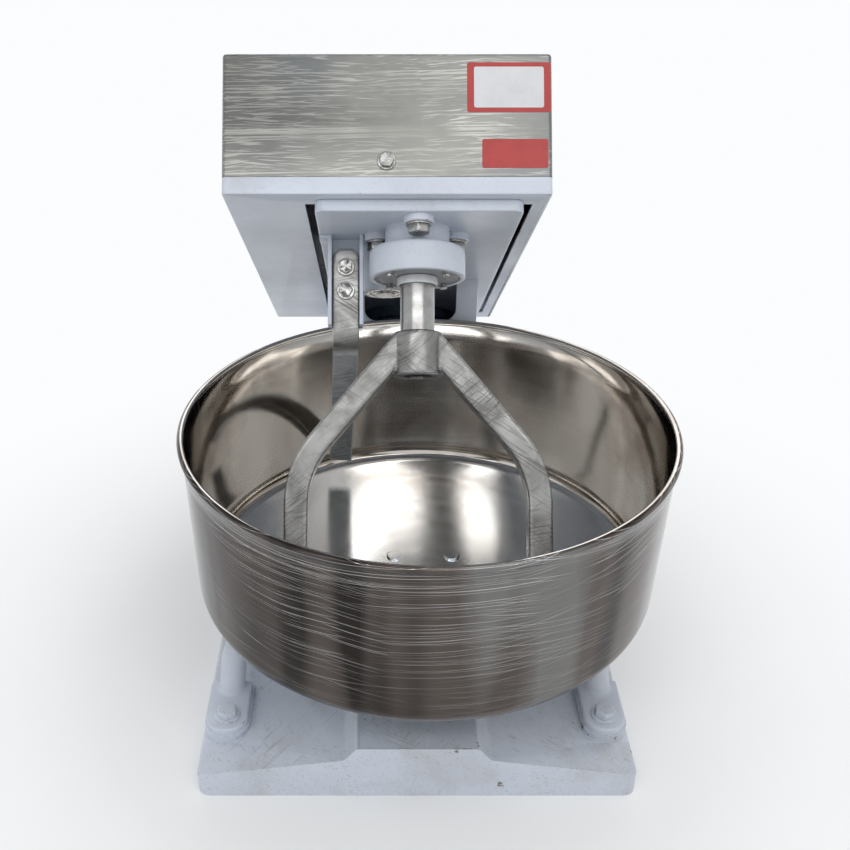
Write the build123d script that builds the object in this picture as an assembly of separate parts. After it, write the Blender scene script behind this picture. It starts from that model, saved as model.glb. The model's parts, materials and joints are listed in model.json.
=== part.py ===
# Dough mixer with a leaning fork. A round bowl turns freely on its stand under a
# two-pronged fork. The fork's spindle, its gears, the belt drive and the motor hang
# from a head that leans back over a sheet column at the rear of a cast base.
# Millimetres, X to the right, Y to the rear, Z up. The base stands on Z = 0 and the
# fork's axis lies in the plane X = 0.
import os
from math import acos, atan2, cos, degrees, hypot, pi, radians, sin, sqrt, tan

from build123d import *

# Fits
running_fit = 0.05  # radial, shaft in its bearing
body_gap = 0.3  # between bodies that move past each other
hole_fit = 0.5  # radial, bolt in its hole

# Base casting
base_width = 455.0
base_front = -210.0
base_rear_margin = 6.0
base_corner = 12.0
base_side_height = 29.0
base_shoulder_height = 51.0
base_plateau_height = 67.0
plateau_half = 62.0
plateau_ramp = 13.0
plateau_rear = 236.0
deck_height = 36.0
base_wall = 8.0
base_edge = 5.0

# Bowl
bowl_offset = 12.0  # bowl axis to the right of the fork's plane
rim_height = 330.0
bowl_floor = 130.0
rim_radius = 260.0
rim_bead = 4.0
bowl_sheet = 2.0
wall_foot_radius = 249.0
wall_foot_rise = 30.0
crease_radius = 243.0
crease_rise = 11.0
dish_sag = 3.0
bowl_flat = 56.0

# Bowl bearing
hub_flange_radius = 55.0
hub_flange_thick = 8.0
hub_spigot_radius = 20.0
hub_bolt_reach = 47.0
thrust_height = 12.0
thrust_radius = 38.0
bush_wall = 5.0
circlip_thick = 1.6
circlip_reach = 4.0
spigot_tail = 2.0

# Bowl stand
stand_hub_radius = 40.0
stand_hub_height = 36.0
leg_radius = 14.0
leg_bend = 34.0
leg_end = (201.0, 104.0)
leg_knee = (195.0, 76.0)
leg_rise = 16.0
lug_width = 44.0
lug_thick = 8.0
lug_bolt_reach = 40.0
foot_pad_top = 42.0
foot_pad_margin = 2.0

# Leaning head, measured along the spindle from the fork's underside
tilt = 35.0
hub_height = 380.0
fork_hub_radius = 25.0
fork_hub_length = 45.0
fork_reach = 135.0
fork_arm = 24.0
fork_width = 28.0
fork_root = 37.0
fork_slope = 40.0
fork_bend = 103.0
fork_tip = 190.0
fork_edge = 3.0
fork_cup_radius = 15.0
fork_cup_depth = 6.0
fork_bolt_depth = 24.0
spindle_radius = 17.5
spindle_socket = 12.0
spindle_neck_radius = 15.0
spindle_thread_radius = 10.0

# Bell housing under the head plate
drum_low = 100.0
drum_radius = 49.0
drum_height = 31.0
drum_edge = 6.0
neck_radius = 33.0
lid_recess = 1.5
lid_thick = 5.0
lid_radius = 43.5
lid_seat = 0.2
seal_drop = 8.5
seal_wall = 3.0
lower_race_radius = 36.0
lower_race_width = 17.0
upper_race_radius = 27.5
upper_race_width = 16.0
ear_radius = 15.0
ear_reach = 46.0
ear_thick = 7.0

# Head plate, rail and belt cover
plate_low = 152.0
plate_thick = 12.0
plate_half = 102.0
plate_front = -65.0
plate_corner = 10.0
rail_height = 17.0
rail_sheet = 3.0
rail_side_lip = 15.0
rail_end_lip = 34.0
cover_left = -190.0
cover_right = 127.0
cover_front = -80.0
cover_height = 121.0
cover_sheet = 1.5
cover_bend = 4.0
cover_bolt_rise = 15.0
cover_bolt_x = -32.0

# Gear pair and belt drive
gear_module = 2.0
gear_teeth = 60
pinion_teeth = 15
tooth_addendum = 0.8  # of the module
tooth_dedendum = 1.25  # of the module
tooth_pressure = 20.0
tooth_backlash = 0.5
gear_low = 172.0
gear_width = 18.0
pinion_overhang = 2.0
counter_x = -32.0
counter_radius = 10.0
counter_race_radius = 21.0
counter_race_width = 12.0
tube_radius = 25.0
tube_drop = 52.0
pulley_low = 208.0
pulley_width = 24.0
large_pitch_radius = 120.0
small_pitch_radius = 30.0
belt_width = 13.0
belt_height = 8.0
belt_angle = 38.0
pulley_rim = 9.0
pulley_web = 8.0
pulley_hub_radius = 25.0
pulley_hub_low = 196.0
pulley_hub_high = 236.0
groove_lip = 1.0
groove_floor = 2.0
motor_hub_low = 172.0
gear_nut_height = 12.0
counter_nut_height = 9.0
web_hole_radius = 19.0
web_hole_reach = 65.0
web_holes = 5

# Motor hung under the rear of the head plate
motor_room = 50.6  # column depth left free by the motor
motor_back_room = 15.0
motor_fins = 24
fin_thick = 2.5
fin_height = 8.0
front_shield = 14.0
motor_length = 105.0
rear_shield = 12.0
fan_cover_length = 56.0
fan_cover_sheet = 1.5
motor_shaft_radius = 9.5
motor_pilot_radius = 30.0
motor_bolt_inset = 13.0
fan_inset = 13.0
fan_blades = 7
fan_blade_thick = 3.0
fan_room = 6.0
fan_cover_inset = 1.0
grille_slot = 6.0
grille_slots = 10
stator_wall = 19.0
air_gap = 0.5

# Column
column_front = 272.0
column_half = 83.0
column_front_sheet = 6.0
column_side_sheet = 5.0
column_depth = 180.6  # behind the front sheet, along the head
notch_half = 57.0
notch_floor = 318.0
notch_corner = 16.0
foot_plate_half = 112.0
foot_plate_front = 258.0
foot_plate_heel = 34.5
foot_plate_thick = 8.0
panel_sheet = 2.0
panel_gap = 4.0
panel_flange = 14.0
louvres = 6
louvre_pitch = 16.0
gland_height = 90.0
gland_setback = 60.0
gland_radius = 11.0

# Dough scraper
bracket_x = -74.0
bracket_y = 30.0
bracket_width = 37.0
bracket_depth = 24.0
bracket_length = 95.0
bracket_sheet = 4.0
bracket_flange = 9.0
scraper_width = 28.0
scraper_thick = 8.0
scraper_bend_drop = 18.0
scraper_bend = 25.0
scraper_top_drop = 12.0
scraper_chamfer = 7.0
scraper_tip = (-88.0, 200.0, 163.0)
scraper_bolts_down = (32.0, 57.0)

# Bolts: across flats, head height, washer radius, shank radius
small_bolt = (7.0, 3.0, 3.7, 2.0)
cover_bolt = (13.0, 5.5, 9.0, 4.0)
bracket_bolt = (13.0, 5.5, 9.5, 4.0)
ear_bolt = (20.0, 8.0, 12.8, 6.0)
foot_bolt = (19.0, 8.0, 14.0, 6.0)
washer_thick = 2.0

# Sizes worked out from the ones above
lean_sin = sin(radians(tilt))
lean_cos = cos(radians(tilt))
column_back = (column_front + column_front_sheet) / lean_cos + column_depth
motor_radius = (column_depth - motor_room) / 2
plate_high = plate_low + plate_thick
plate_rear = column_back + panel_sheet
rail_high = plate_high + rail_height
cover_high = rail_high + cover_height
gear_high = gear_low + gear_width
gear_pitch_radius = gear_module * gear_teeth / 2
pinion_pitch_radius = gear_module * pinion_teeth / 2
gear_centres = gear_pitch_radius + pinion_pitch_radius
counter_y = sqrt(gear_centres ** 2 - counter_x ** 2)
lid_low = drum_low + lid_recess
lid_high = lid_low + lid_thick
drum_high = drum_low + drum_height
upper_race_high = plate_low - lid_recess
seal_bore = spindle_radius + body_gap
lid_bore = seal_bore + seal_wall / 2
lid_screw_reach = (lid_radius + lower_race_radius) / 2
flange_low = bowl_floor - bowl_sheet - hub_flange_thick
stand_hub_top = flange_low - thrust_height
stand_hub_low = stand_hub_top - stand_hub_height
leg_hub_height = (stand_hub_low + stand_hub_top) / 2
leg_knee_height = leg_hub_height + leg_rise
belt_level = pulley_low + pulley_width / 2
motor_y = column_back - motor_back_room - motor_radius
motor_core_radius = motor_radius - fin_height
rotor_radius = motor_core_radius - stator_wall
motor_bolt_reach = motor_radius - motor_bolt_inset
fan_radius = motor_radius - fan_inset
fan_cover_radius = motor_radius - fan_cover_inset
motor_low = plate_low - front_shield - motor_length
shield_low = motor_low - rear_shield
fan_cover_low = shield_low + rear_shield / 2 - fan_cover_length
fan_low = fan_cover_low + fan_cover_sheet + fan_room
scraper_y = bracket_y + bracket_depth / 2 - bracket_sheet - scraper_thick / 2
foot_plate_low = deck_height
column_low = deck_height + foot_plate_thick
heel_level = (column_low - hub_height + lean_sin * column_back) / lean_cos
heel_y = lean_sin * heel_level + lean_cos * column_back
foot_plate_rear = heel_y + foot_plate_heel
base_rear = foot_plate_rear + base_rear_margin
head_place = Plane((0, 0, hub_height), (1, 0, 0), (0, lean_sin, lean_cos)).location


def head_point(y, t):
    return (lean_sin * t + lean_cos * y, hub_height + lean_cos * t - lean_sin * y)


def disc(radius, low, high, x=0.0, y=0.0):
    upright = (Align.CENTER, Align.CENTER, Align.MIN)
    return Pos(x, y, low) * Cylinder(radius, high - low, align=upright)


def ring(outer, inner, low, high, x=0.0, y=0.0):
    return disc(outer, low, high, x, y) - disc(inner, low, high, x, y)


def block(x_span, y_span, z_span):
    corner = (Align.MIN, Align.MIN, Align.MIN)
    size = [high - low for low, high in (x_span, y_span, z_span)]
    return Pos(x_span[0], y_span[0], z_span[0]) * Box(*size, align=corner)


def upright_edges(shape):
    return shape.edges().filter_by(Axis.Z)


def turned(profile):
    return revolve(Plane.XZ * profile, Axis.Z)


def hex_bolt(sizes, shank):
    flats, head_height, washer_radius, shank_radius = sizes
    head = extrude(RegularPolygon(flats / 2, 6, major_radius=False), head_height)
    bolt = Pos(0, 0, washer_thick) * head
    bolt += disc(washer_radius, 0, washer_thick)
    return bolt + disc(shank_radius, -shank, washer_thick)


def group(solids):
    return Compound([solid for piece in solids for solid in piece.solids()])


def lug_places():
    for side in (-1, 1):
        for end in (-1, 1):
            yield side, end


def base_section(wall):
    half = base_width / 2 - wall
    shoulder = plateau_half + plateau_ramp - wall / 2
    right = [(half, 0), (half, base_side_height - wall), (shoulder, base_shoulder_height - wall)]
    right.append((plateau_half - wall / 2, base_plateau_height - wall))
    return make_face(Polyline(*right, *[(-x, z) for x, z in reversed(right)], close=True))


def base():
    half = base_width / 2
    section = base_section(0)
    upper = [corner for corner in section.vertices() if corner.Y > base_side_height / 2]
    section = fillet(upper, base_edge)
    body = Pos(0, plateau_rear, 0) * extrude(Plane.XZ * section, plateau_rear - base_front)
    body += block((-half, half), (plateau_rear, base_rear), (0, deck_height))
    ends = upright_edges(body).group_by(Axis.Y)
    body = fillet(ends[0] + ends[-1], base_corner)
    for side, end in lug_places():
        body += lug(side, end, foot_pad_margin, base_side_height / 2, foot_pad_top)
    return body - base_pockets() - base_holes()


def base_pockets():
    ribs = [base_front + base_wall / 2, 0, plateau_rear - base_wall / 2]
    pockets = []
    for front_rib, rear_rib in zip(ribs, ribs[1:]):
        pocket = extrude(Plane.XZ * base_section(base_wall), rear_rib - front_rib - base_wall)
        pockets.append(Pos(0, rear_rib - base_wall / 2, 0) * pocket)
    half = base_width / 2 - base_wall
    pocket = block((-half, half), (plateau_rear, base_rear - base_wall), (0, deck_height - base_wall))
    pockets.append(fillet(upright_edges(pocket), base_corner))
    return pockets


def base_holes():
    holes = []
    for x, y in lug_bolt_places():
        holes.append(disc(foot_bolt[3] + hole_fit, 0, foot_pad_top, x, y))
    for x, y in column_bolt_places():
        holes.append(disc(foot_bolt[3] + hole_fit, 0, deck_height, x, y))
    return holes


def lug(side, end, margin, low, high):
    radius = lug_width / 2 + margin
    x = side * leg_end[0]
    inner = end * (leg_end[1] - leg_radius - margin)
    outer = end * (leg_end[1] + lug_bolt_reach)
    span = (min(inner, outer), max(inner, outer))
    return block((x - radius, x + radius), span, (low, high)) + disc(radius, low, high, x, outer)


def lug_bolt_places():
    return [(side * leg_end[0], end * (leg_end[1] + lug_bolt_reach)) for side, end in lug_places()]


def leg(side, end):
    knee = (side * leg_knee[0], end * leg_knee[1], leg_knee_height)
    landing = (side * leg_end[0], end * leg_end[1], foot_pad_top)
    overrun = 1 + leg_radius / (leg_knee_height - foot_pad_top)
    foot = Vector(knee) + (Vector(landing) - Vector(knee)) * overrun
    reach = hypot(knee[0] - bowl_offset, knee[1])
    share = (stand_hub_radius - leg_radius) / reach
    start = (bowl_offset + (knee[0] - bowl_offset) * share, knee[1] * share, leg_hub_height)
    path = FilletPolyline(start, knee, foot, radius=leg_bend)
    section = Plane(path @ 0, z_dir=path % 0) * Circle(leg_radius)
    return sweep(section, path)


def bowl_stand():
    bore = hub_spigot_radius + running_fit + bush_wall
    stand = disc(stand_hub_radius, stand_hub_low, stand_hub_top, bowl_offset)
    for side, end in lug_places():
        stand += leg(side, end)
        stand += lug(side, end, 0, foot_pad_top, foot_pad_top + lug_thick)
    half = base_width / 2
    stand -= block((-half, half), (base_front, base_rear), (0, foot_pad_top))
    stand -= disc(bore, stand_hub_low, stand_hub_top, bowl_offset)
    for x, y in lug_bolt_places():
        stand -= disc(foot_bolt[3] + hole_fit, foot_pad_top, foot_pad_top + lug_thick, x, y)
    return stand


def stand_bolts():
    seat = foot_pad_top + lug_thick
    shank = seat - base_side_height + base_wall
    return group([Pos(x, y, seat) * hex_bolt(foot_bolt, shank) for x, y in lug_bolt_places()])


def bowl_bush():
    bore = hub_spigot_radius + running_fit
    return ring(bore + bush_wall, bore, stand_hub_low, stand_hub_top, bowl_offset)


def bowl_thrust_bearing():
    top = flange_low - body_gap
    bore = hub_spigot_radius + bush_wall / 2
    middle = (stand_hub_top + top) / 2
    split = bowl_sheet / 2
    waist = ring(thrust_radius, thrust_radius - bush_wall, middle - split, middle + split, bowl_offset)
    return ring(thrust_radius, bore, stand_hub_top, top, bowl_offset) - waist


def bowl():
    floor = bowl_floor
    crease = (crease_radius, floor + crease_rise)
    foot = (wall_foot_radius, floor + wall_foot_rise)
    top = (rim_radius - rim_bead - bowl_sheet, rim_height - rim_bead)
    under = floor - bowl_sheet
    outer_crease = (crease[0] + bowl_sheet / 2, crease[1] - bowl_sheet)
    outer_foot = (foot[0] + bowl_sheet, foot[1] - bowl_sheet / 2)
    outer_top = (top[0] + bowl_sheet, top[1])
    edges = [
        Line((0, under), (0, floor)),
        Line((0, floor), (bowl_flat, floor)),
        SagittaArc((bowl_flat, floor), crease, -dish_sag),
        SagittaArc(crease, foot, -bowl_sheet),
        Line(foot, top),
        Line(top, outer_top),
        Line(outer_top, outer_foot),
        SagittaArc(outer_foot, outer_crease, bowl_sheet),
        SagittaArc(outer_crease, (bowl_flat, under), dish_sag),
        Line((bowl_flat, under), (0, under)),
    ]
    shell = turned(make_face(edges))
    bead = turned(Pos(rim_radius - rim_bead, rim_height - rim_bead) * Circle(rim_bead))
    dish = Pos(bowl_offset, 0, 0) * (shell + bead)
    for x, y in hub_bolt_places():
        dish -= disc(cover_bolt[3] + hole_fit, under, floor, x, y)
    return dish


def hub_bolt_places():
    spots = PolarLocations(hub_bolt_reach, 4, start_angle=45)
    return [(bowl_offset + spot.position.X, spot.position.Y) for spot in spots]


def bowl_hub():
    low = stand_hub_low - body_gap - circlip_thick - spigot_tail
    hub = disc(hub_flange_radius, flange_low, bowl_floor - bowl_sheet, bowl_offset)
    hub += disc(hub_spigot_radius, low, flange_low, bowl_offset)
    groove_top = stand_hub_low - body_gap
    groove_radius = hub_spigot_radius - bowl_sheet
    hub -= ring(hub_spigot_radius, groove_radius, groove_top - circlip_thick, groove_top, bowl_offset)
    for x, y in hub_bolt_places():
        hub -= disc(cover_bolt[3] + hole_fit, flange_low, bowl_floor - bowl_sheet, x, y)
    return hub


def hub_bolts():
    seat = bowl_floor
    drop = seat - flange_low
    bolts = []
    for x, y in hub_bolt_places():
        bolt = disc(cover_bolt[3], flange_low - cover_bolt[1], seat, x, y)
        dome = disc(cover_bolt[2], seat, seat + bowl_sheet, x, y)
        bolt += fillet(dome.edges().group_by(Axis.Z)[-1], bowl_sheet / 2)
        nut = extrude(RegularPolygon(cover_bolt[0] / 2, 6, major_radius=False), cover_bolt[1])
        bolts.append(bolt + Pos(x, y, seat - drop - cover_bolt[1]) * nut)
    return group(bolts)


def bowl_circlip():
    top = stand_hub_low - body_gap
    inner = hub_spigot_radius - bowl_sheet
    clip = ring(hub_spigot_radius + circlip_reach, inner, top - circlip_thick, top, bowl_offset)
    mouth = (bowl_offset - circlip_reach, bowl_offset + circlip_reach)
    return clip - block(mouth, (0, 2 * hub_spigot_radius), (top - circlip_thick, top))


def underside_height(y):
    return hub_height + (plate_low - lean_sin * y) / lean_cos


def column_bolt_places():
    x = (column_half + foot_plate_half) / 2
    inset = 2 * foot_bolt[3] + foot_plate_thick
    return [(side * x, y) for side in (-1, 1) for y in (foot_plate_front + inset, foot_plate_rear - inset)]


def column():
    heel = (heel_y, column_low)
    outline = [(column_front, column_low), (column_front, underside_height(column_front))]
    outline += [head_point(column_back, plate_low), heel]
    outer = extrude(Plane.YZ * make_face(Polyline(*outline, close=True)), column_half, both=True)
    inner_half = column_half - column_side_sheet
    behind_front = (column_front + column_front_sheet, 2 * column_back)
    shell = outer - block((-inner_half, inner_half), behind_front, (column_low, 2 * rim_height))
    front_span = (column_front, column_front + column_front_sheet)
    notch = block((-notch_half, notch_half), front_span, (notch_floor, 2 * rim_height))
    lower_corners = notch.edges().filter_by(Axis.Y).group_by(Axis.Z)[0]
    shell -= fillet(lower_corners, notch_corner)
    for side in (-1, 1):
        shell += head_place * back_flange(side)
    foot_y = (foot_plate_front, foot_plate_rear)
    foot = block((-foot_plate_half, foot_plate_half), foot_y, (foot_plate_low, column_low))
    foot = fillet(upright_edges(foot), base_corner)
    for x, y in column_bolt_places():
        foot -= disc(foot_bolt[3] + hole_fit, foot_plate_low, column_low, x, y)
    hole = Pos(column_half, *gland_place()) * Rot(0, -90, 0)
    shell -= hole * disc(gland_radius / 2 + hole_fit, 0, column_side_sheet)
    for x, t in panel_screw_places():
        hole = head_place * Pos(x, column_back, t) * Rot(90, 0, 0)
        shell -= hole * disc(small_bolt[3] + hole_fit, 0, column_side_sheet)
    return shell + foot


def back_flange(side):
    inner = side * (column_half - column_side_sheet)
    edge = side * (column_half - column_side_sheet - panel_flange)
    levels = (heel_level + panel_gap, plate_low)
    return block(sorted((inner, edge)), (column_back - column_side_sheet, column_back), levels)


def column_bolts():
    shank = column_low - base_side_height + base_wall
    return group([Pos(x, y, column_low) * hex_bolt(foot_bolt, shank) for x, y in column_bolt_places()])


def panel_screw_places():
    x = column_half - column_side_sheet - panel_flange / 2
    low = heel_level + 4 * panel_gap
    high = plate_low - 4 * panel_gap
    return [(side * x, t) for side in (-1, 1) for t in (low, (low + high) / 2, high)]


def rear_panel():
    low = heel_level + panel_gap
    y_span = (column_back, column_back + panel_sheet)
    panel = block((-column_half, column_half), y_span, (low, plate_low))
    middle = (low + plate_low) / 2
    for step in range(louvres):
        t = middle + (step - (louvres - 1) / 2) * louvre_pitch
        slot = extrude(Plane.XZ * SlotOverall(column_half, louvre_pitch / 2), panel_sheet)
        panel -= Pos(0, column_back + panel_sheet, t) * slot
    for x, t in panel_screw_places():
        hole = disc(small_bolt[3] + hole_fit, 0, panel_sheet)
        panel -= Pos(x, column_back, t) * Rot(-90, 0, 0) * hole
    return panel


def rear_panel_screws():
    seat = column_back + panel_sheet
    screw = Rot(-90, 0, 0) * hex_bolt(small_bolt, panel_sheet + column_side_sheet)
    return group([Pos(x, seat, t) * screw for x, t in panel_screw_places()])


def gland_place():
    return (column_front + gland_setback, gland_height)


def cable_gland():
    nut = extrude(RegularPolygon(gland_radius, 6, major_radius=False), gland_radius / 2)
    dome = disc(0.8 * gland_radius, gland_radius / 2, 1.5 * gland_radius)
    dome = fillet(dome.edges().group_by(Axis.Z)[-1], gland_radius / 5)
    tail = disc(gland_radius / 2, -column_side_sheet, 0)
    body = nut + dome + tail - disc(gland_radius / 3, -column_side_sheet, 1.5 * gland_radius)
    return Pos(column_half, *gland_place()) * Rot(0, 90, 0) * body


def ear_places():
    return [(spot.position.X, spot.position.Y) for spot in PolarLocations(ear_reach, 3, start_angle=-90)]


def motor_bolt_places():
    spots = PolarLocations(motor_bolt_reach, 4, start_angle=45)
    return [(spot.position.X, motor_y + spot.position.Y) for spot in spots]


def head_plate():
    plate = block((-plate_half, plate_half), (plate_front, plate_rear), (plate_low, plate_high))
    plate = fillet(upright_edges(plate).group_by(Axis.Y)[0], plate_corner)
    plate -= disc(upper_race_radius - lid_thick, plate_low, plate_high)
    plate -= disc(tube_radius + lid_seat, plate_low, plate_high, counter_x, counter_y)
    plate -= disc(motor_pilot_radius, plate_low, plate_high, 0, motor_y)
    for x, y in ear_places():
        plate -= disc(ear_bolt[3] + hole_fit, plate_low, plate_high, x, y)
    for x, y in motor_bolt_places():
        plate -= disc(cover_bolt[3] + hole_fit, plate_low, plate_high, x, y)
    return plate


def cover_tab_places():
    middle_y = (cover_front + plate_rear) / 2
    rise = rail_high + cover_bolt_rise
    return [
        Pos(cover_bolt_x, cover_front, rise) * Rot(90, 0, 0),
        Pos(cover_bolt_x, plate_rear, rise) * Rot(-90, 0, 0),
        Pos(cover_left, middle_y, rise) * Rot(0, -90, 0),
        Pos(cover_right, middle_y, rise) * Rot(0, 90, 0),
    ]


def cover_rail():
    rail = block((cover_left, cover_right), (cover_front, plate_rear), (plate_high, rail_high))
    wall_x = (cover_left + rail_sheet, cover_right - rail_sheet)
    wall_y = (cover_front + rail_sheet, plate_rear - rail_sheet)
    rail -= block(wall_x, wall_y, (plate_high + rail_sheet, rail_high))
    mouth_x = (rail_side_lip - cover_right, cover_right - rail_side_lip)
    mouth_y = (cover_front + rail_end_lip, plate_rear - rail_end_lip)
    rail -= block(mouth_x, mouth_y, (plate_high, rail_high))
    for place in cover_tab_places():
        rail += cover_tab(place)
    return rail


def cover_tab(place):
    inset = cover_sheet + lid_seat
    plate = place * disc(cover_bolt[2], -inset - rail_sheet, -inset)
    box = plate.bounding_box()
    tab = block((box.min.X, box.max.X), (box.min.Y, box.max.Y), (rail_high - rail_sheet, box.max.Z))
    return tab - place * disc(cover_bolt[3] + hole_fit, -inset - rail_sheet, -inset)


def belt_cover():
    cover = block((cover_left, cover_right), (cover_front, plate_rear), (rail_high, cover_high))
    bends = upright_edges(cover) + cover.edges().group_by(Axis.Z)[-1]
    cover = fillet(bends, cover_bend)
    inner_x = (cover_left + cover_sheet, cover_right - cover_sheet)
    inner_y = (cover_front + cover_sheet, plate_rear - cover_sheet)
    inside = block(inner_x, inner_y, (rail_high, cover_high - cover_sheet))
    inside = fillet(upright_edges(inside) + inside.edges().group_by(Axis.Z)[-1], cover_bend - cover_sheet)
    cover -= inside
    for place in cover_tab_places():
        cover -= place * disc(cover_bolt[3] + hole_fit, -cover_sheet, 0)
    return cover


def cover_bolts():
    shank = cover_sheet + lid_seat + 2 * rail_sheet
    return group([place * hex_bolt(cover_bolt, shank) for place in cover_tab_places()])


def bearing(bore, outer, low, width, x=0.0, y=0.0):
    wall = (outer - bore) / 3
    race = ring(outer, bore + running_fit, low, low + width, x, y)
    dip = width / 10
    race -= ring(outer - wall, bore + wall, low, low + dip, x, y)
    return race - ring(outer - wall, bore + wall, low + width - dip, low + width, x, y)


def lid_screw_places():
    spots = PolarLocations(lid_screw_reach, 4, start_angle=-45)
    return [(spot.position.X, spot.position.Y) for spot in spots]


def gear_housing():
    drum = disc(drum_radius, drum_low, drum_high)
    drum = fillet(drum.edges().group_by(Axis.Z)[-1], drum_edge)
    housing = drum + disc(neck_radius, drum_high, plate_low)
    for x, y in ear_places():
        housing += disc(ear_radius, plate_low - ear_thick, plate_low, x, y)
    housing -= disc(lid_radius + lid_seat, drum_low, lid_high)
    housing -= disc(lower_race_radius + running_fit, lid_high, lid_high + lower_race_width)
    ledge = upper_race_high - upper_race_width
    housing -= disc(upper_race_radius - lid_thick, lid_high, ledge)
    housing -= disc(upper_race_radius + running_fit, ledge, plate_low)
    for x, y in ear_places():
        housing -= disc(ear_bolt[3] + hole_fit, plate_low - ear_thick, plate_low, x, y)
    for x, y in lid_screw_places():
        housing -= disc(small_bolt[3] + lid_seat, lid_high, lid_high + 2 * lid_thick, x, y)
    nick = block((-lid_thick, lid_thick), (-drum_radius, -lid_radius), (drum_low, drum_low + lid_thick))
    return housing - nick


def housing_bolts():
    seat = plate_low - ear_thick
    shank = ear_thick + plate_thick - lid_recess
    bolt = Rot(180, 0, 0) * hex_bolt(ear_bolt, shank)
    return group([Pos(x, y, seat) * bolt for x, y in ear_places()])


def housing_lid():
    lid = ring(lid_radius, lid_bore + lid_seat, lid_low, lid_high)
    for x, y in lid_screw_places():
        lid -= disc(small_bolt[3] + lid_seat, lid_low, lid_high, x, y)
    return lid


def lid_screws():
    screw = Rot(180, 0, 0) * hex_bolt(small_bolt, 2 * lid_thick)
    return group([Pos(x, y, lid_low) * screw for x, y in lid_screw_places()])


def shaft_seal():
    collar = ring(seal_bore + seal_wall, seal_bore, lid_low - seal_drop, lid_low)
    return collar + ring(lid_bore, seal_bore, lid_low, lid_high)


def spindle_bearing_lower():
    return bearing(spindle_radius, lower_race_radius, lid_high, lower_race_width)


def spindle_bearing_upper():
    low = upper_race_high - upper_race_width
    return bearing(spindle_neck_radius, upper_race_radius, low, upper_race_width)


def countershaft_tube():
    low = plate_low - tube_drop
    tube = ring(tube_radius, counter_radius + lid_thick, low, plate_high, counter_x, counter_y)
    pocket = counter_race_radius + running_fit
    tube -= disc(pocket, low, low + counter_race_width, counter_x, counter_y)
    return tube - disc(pocket, plate_high - counter_race_width, plate_high, counter_x, counter_y)


def countershaft_bearing_lower():
    low = plate_low - tube_drop
    return bearing(counter_radius, counter_race_radius, low, counter_race_width, counter_x, counter_y)


def countershaft_bearing_upper():
    low = plate_high - counter_race_width
    return bearing(counter_radius, counter_race_radius, low, counter_race_width, counter_x, counter_y)


def spindle():
    shoulder = upper_race_high - upper_race_width - body_gap
    shaft = disc(spindle_radius, spindle_socket, shoulder)
    shaft += disc(spindle_neck_radius, shoulder, gear_high)
    shaft += disc(spindle_thread_radius, gear_high, gear_high + gear_nut_height + lid_recess)
    return shaft - disc(cover_bolt[3] + hole_fit, spindle_socket, spindle_socket + fork_bolt_depth)


def gear_nut():
    flats = 2 * spindle_neck_radius + lid_thick
    nut = extrude(RegularPolygon(flats / 2, 6, major_radius=False), gear_nut_height)
    return Pos(0, 0, gear_high) * nut - disc(spindle_thread_radius + running_fit, gear_high, cover_high)


def tooth_outline(teeth):
    pitch = gear_module * teeth / 2
    root = pitch - tooth_dedendum * gear_module
    tip = pitch + tooth_addendum * gear_module
    base_circle = pitch * cos(radians(tooth_pressure))
    half_angle = (pi * gear_module / 2 - tooth_backlash / 2) / (2 * pitch)
    half_angle += tan(radians(tooth_pressure)) - radians(tooth_pressure)
    start = max(root, base_circle)
    flank = [(root, half_angle)]
    steps = 3
    for step in range(steps + 1):
        radius = start + (tip - start) * step / steps
        roll = sqrt(max((radius / base_circle) ** 2 - 1, 0))
        flank.append((radius, half_angle - (roll - atan2(roll, 1))))
    if start == root:
        flank.pop(0)
    return [(r, -a) for r, a in flank] + [(r, a) for r, a in reversed(flank)]


def toothed_disc(teeth, low, width, turn):
    points = []
    for tooth in range(teeth):
        centre = 2 * pi * tooth / teeth + turn
        for radius, angle in tooth_outline(teeth):
            points.append((radius * cos(centre + angle), radius * sin(centre + angle)))
    return Pos(0, 0, low) * extrude(make_face(Polyline(*points, close=True)), width)


def spindle_gear():
    mesh_angle = atan2(counter_y, counter_x)
    gear = toothed_disc(gear_teeth, gear_low, gear_width, mesh_angle)
    hub_radius = upper_race_radius - lid_thick - lid_recess
    dish = gear_width / 3
    rim = gear_pitch_radius - 4 * gear_module
    gear -= ring(rim, hub_radius, gear_low, gear_low + dish)
    gear -= ring(rim, hub_radius, gear_high - dish, gear_high)
    gear += disc(hub_radius, upper_race_high + body_gap, gear_low)
    return gear - disc(spindle_neck_radius + running_fit, upper_race_high, gear_high)


def pinion_shaft():
    mesh_angle = atan2(-counter_y, -counter_x) + pi / pinion_teeth
    low = gear_low - pinion_overhang
    width = gear_width + 2 * pinion_overhang
    pinion = toothed_disc(pinion_teeth, low, width, mesh_angle)
    collar_radius = (counter_radius + pinion_pitch_radius) / 2
    shaft = pinion + disc(collar_radius, plate_high + body_gap, low)
    shaft += disc(collar_radius, low + width, pulley_hub_low)
    top = pulley_hub_high + counter_nut_height + lid_recess
    shaft += disc(counter_radius, plate_low - tube_drop - lid_recess, top)
    return Pos(counter_x, counter_y, 0) * shaft


def groove_face(pitch):
    slope = tan(radians(belt_angle / 2))
    slack = body_gap / cos(radians(belt_angle / 2))
    deep = pitch - belt_height / 2 - groove_floor
    wide = pitch + belt_height / 2 + groove_lip
    def half(radius):
        return belt_width / 2 - (pitch + belt_height / 2 - radius) * slope + slack
    points = [(deep, -half(deep)), (wide, -half(wide)), (wide, half(wide)), (deep, half(deep))]
    return make_face(Polyline(*points, close=True))


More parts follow.
